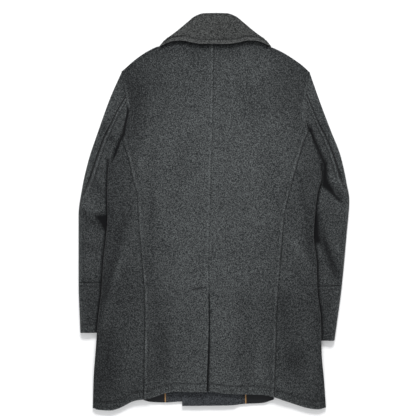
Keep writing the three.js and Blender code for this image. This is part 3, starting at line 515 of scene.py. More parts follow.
def wall_from_grids(name, outer, inner, around=False, outwards=True, shade=None):
    """A closed wall between two grids of points, [row, column, xyz]."""
    rows, columns = outer.shape[:2]
    count = rows * columns
    index = np.arange(count).reshape(rows, columns)
    if around:
        index = np.concatenate([index, index[:, :1]], 1)
    skin = grid_quads(index).reshape(-1, 4)
    faces = [skin, skin[:, ::-1] + count]
    rims = [index[0], index[-1][::-1]] + ([] if around else [index[:, 0][::-1], index[:, -1]])
    for rim in rims:
        faces.append(np.stack([rim[1:], rim[:-1], rim[:-1] + count, rim[1:] + count], -1))
    faces = np.concatenate(faces)
    faces = faces if outwards else faces[:, ::-1]
    points = np.concatenate([outer.reshape(-1, 3), inner.reshape(-1, 3)])
    both = None if shade is None else np.concatenate([shade.ravel(), shade.ravel()])
    piece = mesh_object(name, points, faces.tolist(), both)
    return measured(piece, *grid_measures(*np.moveaxis(outer, -1, 0)))


# %% [markdown]
# Back panels and the vent
#
# The back is cut in two, with a seam down its middle that opens into a vent below. The right back keeps a
# strip that passes under the left one there, so the left one lies a cloth's thickness higher beside the
# vent. Both panels come from the same height function, with the furrow of the centre seam, the welts and
# the pressed line of the hem added to it.

# %% Back panels
UNDERLAP_COLUMNS = 2
VENT_BAR = ((-53, -186.6), (-20, -182.9))


def steps(*stretches):
    """Grid lines over stretches (start, stop, cells per unit) that follow each other."""
    parts = []
    for start, stop, cells in stretches:
        parts.append(np.linspace(start, stop, int(round((stop - start) * cells)) + 1)[:-1])
    return np.append(np.concatenate(parts), stretches[-1][1])


def vent_lift(row, column):
    """How far the vent's underlap lifts the left back."""
    beside = CENTRE_COLUMN - column
    under = 1 - np.clip(beside - UNDERLAP_COLUMNS, 0, 1)
    below = smooth(0, 2, VENT_ROW + 1.2 - row)
    return np.where(column <= CENTRE_COLUMN, (WOOL + LAY_GAP) * under * below, 0)


def hem_relief(x, y):
    """The hem's folded edge, and the groove of its row of stitches."""
    above_hem = y - back_hem_y(x)
    return 0.7 * fall(12, 22, above_hem) - 0.6 * bump(above_hem - HEM_STITCH, 1.6)


def back_details(x, y, row):
    """Furrows and welts sewn into the back's outer face."""
    centre = np.abs(x - centre_seam(y))
    at_centre = (0.35 * bump(centre, 7.0) - bump(centre, 2.0)) * smooth(VENT_ROW - 0.5, VENT_ROW + 0.5, row)
    return at_centre + hem_relief(x, y) + welt(seam_distance(x, y))


COLLAR_EDGE = table(
    "from_middle y",
    (0, 405), (29.5, 405), (56, 408.5), (78, 413), (99.5, 414.5), (118, 411), (127.5, 405.5), (140, 402),
)
under_collar = curves(COLLAR_EDGE)["y"]


def painted_body_shade(x, y):
    """Painted shade of the back above 0 and painted highlight below 0, from its folds, sides, ends and hem.
    """
    # Painted shade in the folds' troughs, towards the sides and ends and in the hem's stitch groove; painted
    # highlight on the ridges and the hem's edge.
    folds = -0.07 * fold_relief(BACK_FOLDS, x, y) - 0.07 * cloth_waver(x, y, 1.0)
    above_hem = y - back_hem_y(x)
    toward_sides = (0.46 + 0.16 * (x < 0)) * across_share(x, y) ** 2
    toward_ends = 0.12 * smooth(-50, -300, y) + 0.20 * smooth(150, 330, y)
    hem = 0.58 * bump(above_hem - HEM_STITCH, 1.7) - 0.35 * fall(1, 4, above_hem)
    return folds + toward_sides + toward_ends + hem


def painted_back_shade(x, y, row):
    """Painted shade and highlight of the back: folds, seams, stitches, vent, vent bar and the collar's
    shadow.
    """
    distance = seam_distance(x, y)
    patchy = 0.6 + 0.4 * np.sin(y / 13 + 1.7 * np.sin(y / 29))
    underarm = smooth(172, 190, y) * fall(240, 262, y) * (x < 0)
    # Painted shade in the seams' furrows and stitch grooves, and painted highlight on the stitched band.
    seam = 0.42 * bump(distance, 1.5) + 0.20 * bump(distance - WELT_WIDTH, 1.5)
    band = -0.6 * patchy * smooth(0.8, 2.4, distance) * fall(4.5, 7, distance)
    above_vent = smooth(VENT_ROW - 0.5, VENT_ROW + 0.5, row)
    from_centre = x - centre_seam(y)
    # Painted shade and a painted highlight along the centre seam, and painted shadow beside the vent's edge.
    centre = (0.36 * bump(from_centre - 1, 1.5) - 0.95 * patchy * bump(from_centre + 3, 2.2)) * above_vent
    open_width = mix(2.2, 6.2, np.clip((VENT_TOP_Y - y) / 250, 0, 1))
    vent = 1.1 * fall(open_width * 0.3, open_width * 1.4, from_centre) * smooth(-2, 0, from_centre)
    vent = vent * fall(VENT_ROW - 0.6, VENT_ROW, row)
    # Painted shadow on the back below the collar's edge.
    below_collar = under_collar(np.abs(x - 3)) - y
    shadow = 0.18 * fall(6, 44, below_collar) + 0.45 * fall(1, 7, below_collar)
    # The vent's bar and the underarm crease are painted shade too.
    (bar_x0, bar_y0), (bar_x1, bar_y1) = VENT_BAR
    bar_y = mix(bar_y0, bar_y1, (x - bar_x0) / (bar_x1 - bar_x0))
    on_bar = smooth(bar_x0 - 1, bar_x0 + 2, x) * fall(bar_x1 - 1, bar_x1 + 1, x)
    bar = 0.95 * bump(y - bar_y, 1.8) * on_bar
    crease = 1.3 * underarm * bump(distance, 3.8)
    return painted_body_shade(x, y) + seam + band * (1 - underarm) + centre + vent + shadow + bar + crease


back_rows = steps(
    (HEM_ROW, 2, 14), (2, VENT_ROW - 0.5, 6), (VENT_ROW - 0.5, VENT_ROW + 0.5, 34),
    (VENT_ROW + 0.5, TOP_ROW, 6),
)
left_columns = steps((0, 1, 15), (1, 7, 5), (7, CENTRE_COLUMN, 13))
right_columns = steps(
    (CENTRE_COLUMN - UNDERLAP_COLUMNS, 7, 4), (7, 8, 6), (8, 9, 13), (9, 15, 5), (15, RIGHT_COLUMN, 15)
)


def back_panel(name, columns, lifted):
    x, y = panel_points(back_rows, columns)
    row, column = np.meshgrid(back_rows, columns, indexing="ij")
    z = back_z(x, y) + WOOL + back_details(x, y, row)
    outward, outer_column = (-1, LEFT_COLUMN) if lifted else (1, RIGHT_COLUMN)
    seam_meet = SEAM_MEET * np.where(row > ARMHOLE_ROW, ARMHOLE_MEET / SEAM_MEET, 1)
    at_centre = (column == CENTRE_COLUMN) & (row > VENT_ROW)
    x = x + outward * (np.where(column == outer_column, seam_meet, 0) - np.where(at_centre, SEAM_MEET, 0))
    shade = painted_back_shade(x, y, row)
    below_vent = smooth(0, 1, VENT_ROW - row)
    if lifted:
        edge_lift = 0.9 * below_vent * bump(CENTRE_COLUMN - column, 0.35)
        z = z + vent_lift(row, column) + edge_lift * (0.6 + 0.4 * np.sin(y / 33))
        # Painted highlight along the left flap's edge beside the vent.
        shade = shade - 0.28 * below_vent * bump(CENTRE_COLUMN - column, 0.25)
        return cloth_panel(name, x, y, z, WOOL, shade=shade)
    keep = (row[:-1, :-1] < VENT_ROW) | (column[:-1, :-1] >= CENTRE_COLUMN)
    z = z - 0.5 * below_vent * bump(column - CENTRE_COLUMN, 0.4)
    return cloth_panel(name, x, y, z, WOOL, keep=keep, shade=shade)


back_left = back_panel("back_panel_left", left_columns, True)
back_right = back_panel("back_panel_right", right_columns, False)

# %% [markdown]
# Sides that turn under
#
# Each side body starts at its seam on the back, turns round the coat's fold edge and runs back to the
# front's seam. Its section is a U lying down, so one row of the grid goes over the top, round a small half
# circle and back underneath. The inner face follows the same path a cloth's thickness further in.

# %% Side bodies
TURN_STEPS = 10


def side_strip(side):
    outward = SIDES[side].outward
    rows = steps((HEM_ROW, 2, 14), (2, ARMHOLE_ROW, 6))[:, None]
    top_shares = np.concatenate([np.linspace(0, 0.3, 14)[:-1], np.linspace(0.3, 1, 20)])[None, :]
    edge_x, edge_y = strip_points(side, rows, np.array([[1.0]]))
    low = underside_rise(edge_x, edge_y)
    high = back_z(edge_x, edge_y) + WOOL
    radius = (high - low) / 2

    def flat(shares, height_of):
        x, y = strip_points(side, rows, shares, radius)
        z = height_of(x, y)
        return np.where(shares == 0, x - outward * SEAM_MEET, x), y, z

    x, y, z = flat(top_shares, back_z)
    z[:, -1:] = high - WOOL
    detail = (hem_relief(x, y) - 1.2 * bump(x - x[:, :1], 1.8)) * fall(0.85, 1.0, top_shares)
    top_outer, top_inner = xyz(x, y, z + WOOL + detail), xyz(x, y, z + detail)
    turn_x, turn_y = strip_points(side, rows, np.array([[1.0]]), radius)
    angle = (math.pi / 2 - math.pi * np.arange(1, TURN_STEPS) / TURN_STEPS)[None, :]
    middle = (high + low) / 2
    rings = [
        xyz(turn_x + outward * np.cos(angle) * r, turn_y, middle + np.sin(angle) * r)
        for r in (radius, radius - WOOL)
    ]
    base_shares = np.linspace(1, 0, 13)[None, :]
    bx, by, bz = flat(base_shares, underside_rise)
    bz[:, :1] = low
    outer = np.concatenate([top_outer, rings[0], xyz(bx, by, bz)], 1)
    inner = np.concatenate([top_inner, rings[1], xyz(bx, by, bz + WOOL)], 1)
    seam_x = SIDES[side].seam(outer[..., 1])
    # Painted shade from the back's folds, sides and hem, and a painted dark line at the side-back seam; none
    # on the turn and underneath.
    shade = painted_body_shade(outer[..., 0], outer[..., 1]) + 0.7 * bump(outer[..., 0] - seam_x, 1.7)
    shade[:, top_shares.shape[1] + TURN_STEPS - 1:] = 0
    piece = wall_from_grids(f"side_body_{side}", outer, inner, outwards=outward > 0, shade=shade)
    return bake_modifiers(soften_edges(piece, 0.7))


side_bodies = {side: side_strip(side) for side in SIDES}

# %% [markdown]
# Fronts, facings and lining
#
# The coat is buttoned, so the two fronts overlap in a wide strip under the middle of the back. Each front
# is cut away along its roll line, where the lapel turns over. Its hem hangs a little lower than the back's,
# and shows a strip of the inside: the wool facing, the dark lining and a thin bound edge between them.

# %% Fronts and their inside
TRIM_CLOTH = 1.0
PIPING_WIDTH = 3.0
ROLL_TOP_Y, ROLL_FOOT_Y = 420, 149
front_rows = steps((0, 1, 4), (1, TOP_ROW, 3))


def outer_front_z(x, y):
    return underside_rise(x, y)


def under_front_z(x, y):
    return underside_rise(x, y) + overlap_lift(x, y)


def front_panel(name, columns, hem, height_of, top_x, foot_x, inward):
    x, y = panel_points(front_rows, columns, hem)
    along_x, along_y = foot_x - top_x, ROLL_FOOT_Y - ROLL_TOP_Y
    normal = (-along_y, along_x, 0) if inward > 0 else (along_y, -along_x, 0)
    return cloth_panel(name, x, y, height_of(x, y) + WOOL, WOOL, cut=((top_x, ROLL_TOP_Y, 0), normal))


front_outer = front_panel(
    "front_panel_outer", steps((0, 11, 3)), outer_hem_y, outer_front_z, -111, OUTER_FRONT_EDGE_X, 1
)
front_under = front_panel(
    "front_panel_under", steps((5, 16, 3)), under_hem_y, under_front_z, 116, UNDER_FRONT_EDGE_X, -1
)


def trim_panel(name, first, last, hem, height_of, trim_left, trim_right):
    columns = steps((first, last, 4))
    rows = steps((0, 1, 8), (1, 4, 3))
    x, y = panel_points(rows, columns, hem)
    z = height_of(x, y) + WOOL + SEAM_GAP + TRIM_CLOTH
    x[:, 0] += trim_left
    x[:, -1] -= trim_right
    ripple = 0.25 * np.sin(x / 9) * fall(0, 40, y - hem(x))
    return cloth_panel(name, x, y, z + ripple, TRIM_CLOTH, bevel=0.35)


bound = PIPING_WIDTH / 2 + 0.1
facing_outer = trim_panel("facing_outer", 3, 5, outer_hem_y, outer_front_z, bound, SEAM_GAP)
facing_under = trim_panel("facing_under", 5, 13, under_hem_y, under_front_z, 0, bound)
lining_outer = trim_panel("lining_outer", 0, 3, outer_hem_y, outer_front_z, 1, bound)
lining_under = trim_panel("lining_under", 13, 16, under_hem_y, under_front_z, bound, 1)


def piping(name, line_x, hem, height_of):
    """A narrow strip of cloth folded round the facing's edge, half round on top."""
    y = np.linspace(float(hem(line_x)) + 0.4, -395, 24)[:, None]
    across = np.linspace(-1, 1, 9)[None, :]
    x = line_x + across * PIPING_WIDTH / 2 + 0.3 * np.sin(y / 21)
    base = height_of(x, y) + WOOL + SEAM_GAP
    crown = 0.9 + 0.9 * np.sqrt(1 - across**2 * 0.98)
    return wall_from_grids(name, xyz(x, y, base + crown), xyz(x, y, base), outwards=True)


piping_outer = piping("piping_outer", FACING_LEFT_X, outer_hem_y, outer_front_z)
piping_under = piping("piping_under", FACING_RIGHT_X, under_hem_y, under_front_z)

# %% [markdown]
# Sleeves
#
# A sleeve is a flat tube. Its section is named by how far round it a point is: from the outer edge over the
# top to the hidden inner edge, and back underneath. Stations follow each other down the arm. The folds are
# pressed into the top layer only. The top layer also carries painted shade, darker towards the cuff and
# darkest in the deepest folds, where the cloth sinks away beside the body and little light reaches it.

# %% Sleeve sections
SLEEVE_SHAPE = (
    (1, 0.2, 0), (0.5, 0.185, 0.4), (0.18, 0.135, 0.8), (0, 0.105, 1), (0, 0.075, 1), (0, 0.04, 1),
    (0, 0.03, 1), (0, 0.03, 1), (0, 0.03, 1),
)


def sleeve_table(*points):
    """A row per station: its outer and inner point, its pull to the armhole, its seam, how flat it lies."""
    rows = [(i, *point, *shape) for i, (point, shape) in enumerate(zip(points, SLEEVE_SHAPE))]
    return table("station outer_x outer_y inner_x inner_y pull seam lie", *rows)


SLEEVES = {
    "left": sleeve_table(
        (-223, 340, -219.8, 178), (-251, 277, -231, 140), (-280, 197, -227, 94), (-304, 125, -205, 42),
        (-319, 60, -176, -2), (-328, -8, -167, -44), (-328, -80, -169, -97), (-328, -170, -176, -175),
        (-324, -293, -183, -293),
    ),
    "right": sleeve_table(
        (232, 337.5, 227, 193), (258, 263, 238, 152), (283, 197, 241, 104), (307, 135, 218, 44),
        (321, 72, 180, -5), (328, 26, 169, -44), (321, -59, 171, -97), (310, -177, 174, -184),
        (292, -312, 158, -312),
    ),
}
CUFF_STATION = 7
FRONT_SEAM = 0.655
RING_TURN = 0.06
PANEL_GAP = 0.0004
CLEAR_OF_BODY, POCKET_TOP_Y = 30, 235
SLEEVE_LOFT, DEEP_FOLD_SINK, ARMHOLE_STEP = 2.4, 2.4, 0.7
SLEEVE_FLAT, SLEEVE_AT_ARMHOLE = 9.2, 6.4
SLEEVE_CREASES = table(
    "x0 y0 x1 y1 bend width height",
    (-330, 10, -262, -46, 5, 9, -2.4),
    (-328, 34, -268, -14, 4, 12, 1.5),
    (-322, -78, -276, -92, 3, 9, -1.2),
    (-303, 90, -268, 20, -6, 12, -1.4),
    (-262, 230, -246, 160, 5, 12, -1.2),
    (-300, -120, -296, -160, 3, 10, 1.0),
    (250, 72, 324, 20, -6, 9, -2.6),
    (262, 92, 318, 48, -5, 12, 1.6),
    (256, -30, 306, -172, 5, 8, -4.0),
    (284, -30, 312, -110, 5, 10, 1.5),
    (252, 220, 262, 150, -5, 12, -1.2),
    (300, 110, 312, 70, 3, 9, -1.0),
    (276, -205, 270, -290, 4, 14, -1.0),
    (-300, -200, -304, -280, -4, 14, -1.0),
)
DEEP_FOLDS = (
    (
        (222, 219), (240, 202), (250, 171), (262, 144), (276, 116), (278, 98), (281, 71), (292, 48),
        (307, 31), (319, 17), (296, 26), (280, 44), (260, 62), (258, 84), (262, 112), (244, 154), (226, 193),
    ),
    ((236, 16), (249, 20), (254, -8), (257, -56), (264, -88), (254, -80), (240, -80), (236, -44)),
    (
        (-210, 241), (-217, 209), (-229, 181), (-244, 149), (-252, 113), (-254, 77), (-256, 16), (-263, -3),
        (-295, -8), (-275, -32), (-266, -49), (-262, -90), (-240, -90), (-240, -3), (-240, 118),
        (-229, 149), (-215, 181),
    ),
)


def inside_depth(outline, x, y):
    """Distance to a polygon's edge, positive inside it."""
    nearest = np.full(x.shape, 1e9)
    inside = np.zeros(x.shape, bool)
    for (x0, y0), (x1, y1) in zip(outline, outline[1:] + outline[:1]):
        dx, dy = x1 - x0, y1 - y0
        t = np.clip(((x - x0) * dx + (y - y0) * dy) / (dx * dx + dy * dy), 0, 1)
        nearest = np.minimum(nearest, np.hypot(x - x0 - t * dx, y - y0 - t * dy))
        crosses = (y0 > y) != (y1 > y)
        inside ^= crosses & (x < x0 + (y - y0) * dx / (dy if dy else 1))
    return np.where(inside, nearest, -nearest)


def armhole_line(side):
    """The armhole seam in plan, from the shoulder to the side-back seam, by its share of the length."""
    column = LEFT_COLUMN if side == "left" else RIGHT_COLUMN
    x, y = panel_points(np.linspace(TOP_ROW, ARMHOLE_ROW, 25), np.array([float(column)]))
    x, y = x.ravel(), y.ravel()
    length = np.append(0, np.cumsum(np.hypot(np.diff(x), np.diff(y))))
    outward = SIDES[side].outward
    return lambda share: (
        np.interp(share, length / length[-1], x) + outward * SEAM_GAP,
        np.interp(share, length / length[-1], y),
    )


ARMHOLES = {side: armhole_line(side) for side in SIDES}


def sleeve_section(side, station):
    """A sleeve's table read at a station, and its width there."""
    s = read(SLEEVES[side], station)
    return s, np.hypot(s["inner_x"] - s["outer_x"], s["inner_y"] - s["outer_y"])


def sleeve_points(side, station, around, inset):
    """Points of a sleeve's outer face, inset 0, or of its inner one, and their painted shade."""
    rows = SLEEVES[side]
    s, width = sleeve_section(side, station)
    half = mix(SLEEVE_AT_ARMHOLE, SLEEVE_FLAT, s["lie"]) / 2
    reach, radius = half / width, half - inset
    p = np.mod(around, 1)
    quarter = math.pi / 2
    angle_in = quarter * (1 - (p - 0.5 + RING_TURN) / RING_TURN)
    angle_out = quarter * np.where(p > 0.5, p - 1, p) / RING_TURN
    over = (p >= RING_TURN) & (p <= 0.5 - RING_TURN)
    below = (p >= 0.5 + RING_TURN) & (p <= 1 - RING_TURN)
    inner_turn = (p > 0.25) & (p < 0.75)
    straight = 0.5 - 2 * RING_TURN
    share = np.select(
        [over, below, inner_turn],
        [
            mix(reach, 1 - reach, (p - RING_TURN) / straight),
            mix(1 - reach, reach, (p - 0.5 - RING_TURN) / straight),
            1 - reach + np.cos(angle_in) * radius / width,
        ],
        reach - np.cos(angle_out) * radius / width,
    )
    turn = np.where(inner_turn, np.sin(angle_in), np.sin(angle_out))
    z = np.select([over, below], [half + radius + 0 * p, half - radius + 0 * p], half + turn * radius)
    hole_x, hole_y = ARMHOLES[side](np.clip(share, 0, 1))
    chord_x = mix(rows["outer_x"][0], rows["inner_x"][0], share)
    chord_y = mix(rows["outer_y"][0], rows["inner_y"][0], share)
    x = mix(s["outer_x"], s["inner_x"], share) + s["pull"] * (hole_x - chord_x)
    y = mix(s["outer_y"], s["inner_y"], share) + s["pull"] * (hole_y - chord_y)
    on_top = smooth(0.0, RING_TURN * 1.6, p) * fall(0.5 - RING_TURN * 1.6, 0.5, p)
    clear = np.where(x < 0, left_edge(y) - x, x - right_edge(y))
    clear = np.where(y > SIDES[side].underarm_y + 20, CLEAR_OF_BODY, clear)
    bulge = SLEEVE_LOFT * smooth(4, 26, clear) * s["lie"]
    meet = back_z(hole_x, hole_y) + WOOL - ARMHOLE_STEP - 2 * half
    meet = meet * fall(0, 1.3, station) * fall(0.75, 0.95, share)
    folds, waver = fold_relief(SLEEVE_CREASES, x, y), cloth_waver(x, y, 1.0)
    creases = (folds + 0.8 * waver) * s["lie"]
    # Painted shade: darkest in the deep folds and along the body's edge, where little light reaches the
    # cloth.
    depth = np.max([inside_depth(outline, x, y) for outline in DEEP_FOLDS], axis=0)
    beside = fall(1, 9, clear) * smooth(-3, 0, clear) * (y < POCKET_TOP_Y) * smooth(0.3, 1, s["lie"])
    dark = np.maximum(1.15 * smooth(-3, 10, depth), 0.8 * beside) * on_top
    # More painted shade over the whole top layer, growing towards the cuff, darker in the creases' troughs
    # and lighter on their ridges.
    toward_cuff = 0.14 * smooth(4, 7.5, station)
    dark = dark + (0.30 + toward_cuff - 0.12 * folds - 0.1 * waver) * on_top
    wide = smooth(-7, 8, depth) * on_top
    z = z + on_top * (bulge + meet + creases * smooth(-4, 12, clear)) * (1 - 0.9 * wide)
    z = z - DEEP_FOLD_SINK * wide * s["lie"]
    return xyz(x, y, z), dark


def around_distance(grid):
    """Distance from each row's first point, along the row."""
    pieces = np.linalg.norm(np.diff(grid, axis=1), axis=-1)
    return np.concatenate([np.zeros((len(grid), 1)), np.cumsum(pieces, 1)], 1)


def sleeve_faces(side, station, around):
    """A sleeve's outer and inner face, its painted shade and how far a point belongs to its top layer."""
    outer, dark = sleeve_points(side, station, around, 0)
    inner, _ = sleeve_points(side, station, around, SLEEVE_WOOL)
    p = np.mod(around, 1)
    return outer, inner, dark, smooth(0, RING_TURN, p) * fall(0.5 - RING_TURN, 0.5, p)


def sleeve_wall(name, side, outer, inner, detail, dark, edge, around=False):
    """The cloth wall between both faces, raised by its sewn detail, with soft edges."""
    for face in (outer, inner):
        face[..., 2] += detail
    piece = wall_from_grids(name, outer, inner, around, side == "right", dark)
    return bake_modifiers(soften_edges(piece, edge))


def sleeve_panel(name, side, stations, start_of, stop_of, count, seam_side):
    station = stations[:, None]
    share = np.linspace(0, 1, count)[None, :]
    start, stop = start_of(station) + PANEL_GAP, stop_of(station) - PANEL_GAP
    outer, inner, dark, top = sleeve_faces(side, station, mix(start, stop, share))
    distance = around_distance(outer)
    if seam_side > 0:
        distance = distance[:, -1:] - distance
    detail = (welt(distance, 0.7) if seam_side < 0 else -1.0 * bump(distance, 1.8)) * top
    top = top * (1 - 0.8 * smooth(3.2, 4.6, station))
    # Painted shade in the seam's furrow and the stitch groove, and painted highlight on the stitched band
    # beside it.
    dark = dark + 0.85 * bump(distance, 2.2) * top
    if seam_side < 0:
        stitched_row = 0.5 * bump(distance - WELT_WIDTH, 1.7)
        dark = dark + (stitched_row - 0.3 * smooth(2, 4, distance) * fall(7, 9, distance)) * top
    return sleeve_wall(name, side, outer, inner, detail, dark, 0.5)


sleeve_pieces = {}
sleeve_stations = np.linspace(0, CUFF_STATION - 0.0025, 120)
for side in SIDES:
    back_seam = curves(SLEEVES[side])["seam"]
    sleeve_pieces[f"upper_{side}"] = sleeve_panel(
        f"upper_sleeve_{side}", side, sleeve_stations, lambda s: 0 * s + FRONT_SEAM - 1, back_seam, 76, 1
    )
    sleeve_pieces[f"under_{side}"] = sleeve_panel(
        f"under_sleeve_{side}", side, sleeve_stations, back_seam, lambda s: 0 * s + FRONT_SEAM, 100, -1
    )

# %% [markdown]
# Cuffs
#
# Each cuff is a separate ring, sewn on below the sleeve. A ridge runs along its seam, where the seam's
# allowance is stitched down, and a shallow groove marks the line of stitches above its hem.

# %% Cuffs
CUFF_ROUND = 150


def cuff_ring(side):
    station = np.linspace(CUFF_STATION, CUFF_STATION + 1, 44)[:, None]
    around = (np.arange(CUFF_ROUND) / CUFF_ROUND)[None, :]
    outer, inner, dark, top = sleeve_faces(side, station, around)
    length = np.linalg.norm(outer[-1] - outer[0], axis=-1)[None, :]
    below = (station - CUFF_STATION) * length
    above_hem = length - below
    groove = -0.5 * bump(above_hem - CUFF_HEM_STITCH, 1.8) + 0.5 * fall(12, 20, above_hem)
    detail = (welt(below, 0.8) + groove) * top
    # Painted shade in the cuff's seam furrow and stitch grooves, and a faint painted highlight just below
    # its seam.
    lines = 0.95 * bump(below, 2.1) + 0.35 * bump(below - WELT_WIDTH, 1.7)
    lines = lines + 0.35 * bump(above_hem - CUFF_HEM_STITCH, 1.8) - 0.1 * fall(3, 9, below)
    return sleeve_wall(f"cuff_ring_{side}", side, outer, inner, detail, dark + lines * top, 0.7, True)


cuffs = {side: cuff_ring(side) for side in SIDES}

# %% [markdown]
# Collar, stand and lapels
#
# The collar's fall is a broad sheet that rolls over its fold at the top and lies over the back's neck. It
# is padded and topstitched, so it stays a little off the cloth below it, which casts the dark line under
# its edge; a painted shadow on the back below the edge deepens that line. Its two ends turn over the
# shoulders and lie underneath, beside the lapels. The stand is the strip inside the roll that joins the
# fall to the neck.

# %% Collar
COLLAR = table(
    "index fold_x fold_y edge_x edge_y puff",
    (0, 0, 480.8, 0, 405, 1.6), (1, -27, 480.2, -29.5, 405, 1.6), (2, -49, 473, -56, 408.5, 1.6),
    (3, -68, 458, -78, 413, 1.4), (4, -90, 439.5, -99, 412.5, 1), (5, -110, 424.5, -117, 407, 0.5),
    (6, -117, 420, -127, 402.5, 0.2), (7, -120, 417, -131.7, 401.7, 0),
)
COLLAR_MIDDLE_X = 3
COLLAR_TIP = 7
COLLAR_SHEET_Z, COLLAR_ROLL_Z = 12.2, 7.4
COLLAR_LIFT = 2.6
TOPSTITCH_INSET = 10
PUCKER_TURN = 26
UNDERSIDE_CLOTH = 3.5


def collar_section(index):
    """Fold and edge of the collar at an index that runs from its left tip, -7, to its right one, 7."""
    value = read(COLLAR, np.abs(index))
    side = np.where(index < 0, 1, -1)
    fold_x, edge_x = COLLAR_MIDDLE_X + side * value["fold_x"], COLLAR_MIDDLE_X + side * value["edge_x"]
    return fold_x, value["fold_y"], edge_x, value["edge_y"], value["puff"]


def collar_surface(index, from_fold):
    """Collar points at a share of the way from fold to edge: x, y, height, detail, distance."""
    fold_x, fold_y, edge_x, edge_y, puff = collar_section(index)
    length = np.hypot(edge_x - fold_x, edge_y - fold_y)
    x, y = mix(fold_x, edge_x, from_fold), mix(fold_y, edge_y, from_fold)
    over_back = back_z(x, np.minimum(y, shoulder_y(x))) + WOOL + 1.4
    lying = np.maximum(COLLAR_SHEET_Z, over_back) + puff * np.sin(math.pi * from_fold) ** 2
    toward_middle = 1 - smooth(4.5, COLLAR_TIP, np.abs(index))
    lying = lying + COLLAR_LIFT * from_fold**2.2 * (0.25 + 0.75 * toward_middle)
    to_edge = (1 - from_fold) * length
    band = 0.8 * fall(TOPSTITCH_INSET - 3, TOPSTITCH_INSET, to_edge)
    groove = -1.1 * bump(to_edge - TOPSTITCH_INSET, 1.9)
    puckers = 0.3 * np.sin(index * PUCKER_TURN) * bump(to_edge - 6, 3.5)
    worn = cloth_waver(2 * x, 2 * y, 0.5) + puckers
    return x, y, lying, band + groove + worn, from_fold * length


def collar_piece():
    index = np.linspace(-COLLAR_TIP, COLLAR_TIP, 190)[:, None]
    stretches = (np.linspace(0, 0.05, 9)[:-1], np.linspace(0.05, 0.72, 22)[:-1], np.linspace(0.72, 1, 22))
    share = np.concatenate(stretches)
    x, y, lying, detail, from_fold = collar_surface(index, share[None, :])
    top = lying + WOOL
    middle = (COLLAR_ROLL_Z + top) / 2
    roll = np.clip(1 - from_fold / 4.2, 0, 1)
    tip = np.clip(1 - (COLLAR_TIP - np.abs(index)) / 0.7, 0, 1)
    rounded = 1 - np.sqrt(1 - np.maximum(roll, tip) ** 2)
    outer = xyz(x, y, top + detail - (top - middle) * rounded)
    inner_z = mix(COLLAR_ROLL_Z, lying + detail, smooth(2.5, 6.5, from_fold))
    inner_z = mix(inner_z, UNDERSIDE_CLOTH - 1, smooth(COLLAR_TIP - 0.5, COLLAR_TIP, np.abs(index)))
    to_edge = (1 - share[None, :]) * from_fold[:, -1:]
    # Painted shade in the topstitch groove, near the roll and towards the tips; painted highlight on the
    # edge band; puckers painted lighter and darker.
    stitching = bump(to_edge - TOPSTITCH_INSET, 1.7) - fall(4, 9, to_edge)
    puckers = np.sin(index * PUCKER_TURN) * bump(to_edge - 6, 3.5)
    shade = 0.55 * stitching - 0.3 * puckers - 0.12 * cloth_waver(2 * x, 2 * y, 1.0)
    shade = shade + 0.25 * fall(2, 14, from_fold) + 0.35 * (np.abs(index) / COLLAR_TIP) ** 3
    piece = wall_from_grids("collar_sheet", xyz(x, y, inner_z), outer, outwards=True, shade=shade)
    return bake_modifiers(soften_edges(piece, 1.0, 3))


def stand_piece():
    index = np.linspace(-4, 4, 60)[:, None]
    fold_x, fold_y, edge_x, edge_y, _ = collar_section(index)
    length = np.hypot(edge_x - fold_x, edge_y - fold_y)
    neck_x = COLLAR_MIDDLE_X + (fold_x - COLLAR_MIDDLE_X) * 0.92
    neck_y = shoulder_y(neck_x) + 1
    upper_x, upper_y = mix(fold_x, edge_x, 7 / length), mix(fold_y, edge_y, 7 / length)
    t = np.linspace(0, 1, 8)[None, :]
    x, y = mix(neck_x, upper_x, t), mix(neck_y, upper_y, t)
    low = xyz(x, y, COLLAR_SHEET_Z - LAY_GAP - WOOL)
    piece = wall_from_grids("collar_stand_strip", low + [0, 0, WOOL], low, outwards=False)
    return bake_modifiers(soften_edges(piece, 0.8))


collar = collar_piece()
stand = stand_piece()

# %% [markdown]
# What lies on the table
#
# The collar's ends and the lapels are turned back on the fronts, so with the coat face down they lie flat
# on the table. Each is an outline with its corners eased, filled, given the cloth's thickness and rounded
# edges.

# %% Collar ends and lapels
COLLAR_END = (
    (-131.7, 402.7), (-120, 417), (-104, 403), (-75, 361.5), (-164, 330), (-157, 352), (-142.5, 376)
)
LEFT_LAPEL = ((-74, 356), (-116, 341), (-160, 300), (-128, 256), (-78, 207), (-20, 168), (44, 149))
RIGHT_LAPEL = ((79, 356), (121, 341), (165, 300), (133, 256), (92, 207), (52, 150), (-3, 247))


def eased(outline, ease=2.0, count=4):
    """An outline with each corner replaced by a short curve."""
    points = []
    ring = [np.array(p, float) for p in outline]
    for before, corner, after in zip(ring[-1:] + ring[:-1], ring, ring[1:] + ring[:1]):
        a = corner + (before - corner) * ease / np.linalg.norm(before - corner)
        b = corner + (after - corner) * ease / np.linalg.norm(after - corner)
        for t in np.linspace(0, 1, count):
            points.append((1 - t) ** 2 * a + 2 * t * (1 - t) * corner + t * t * b)
    return np.array(points)


def plate(name, outline):
    """A flat piece of doubled cloth with this outline, lying on the table."""
    ring = eased(outline)
    area = 0.5 * np.sum(ring[:, 0] * np.roll(ring[:, 1], -1) - np.roll(ring[:, 0], -1) * ring[:, 1])
    ring = ring if area > 0 else ring[::-1]
    count = len(ring)
    flat = np.column_stack([ring, np.zeros(count)])
    points = np.concatenate([flat, flat + [0, 0, UNDERSIDE_CLOTH]])
    nexts = [(i + 1) % count for i in range(count)]
    faces = [list(range(count))[::-1], list(range(count, 2 * count))]
    faces += [[i, j, j + count, i + count] for i, j in enumerate(nexts)]
    piece = mesh_object(name, points, faces)
    size = (ring.max(0) - ring.min(0)) * MM
    finished = bake_modifiers(soften_edges(piece, 1.0, 3))
    return measured(finished, float(size[0]), float(size[1]), float(abs(area)) * MM * MM)


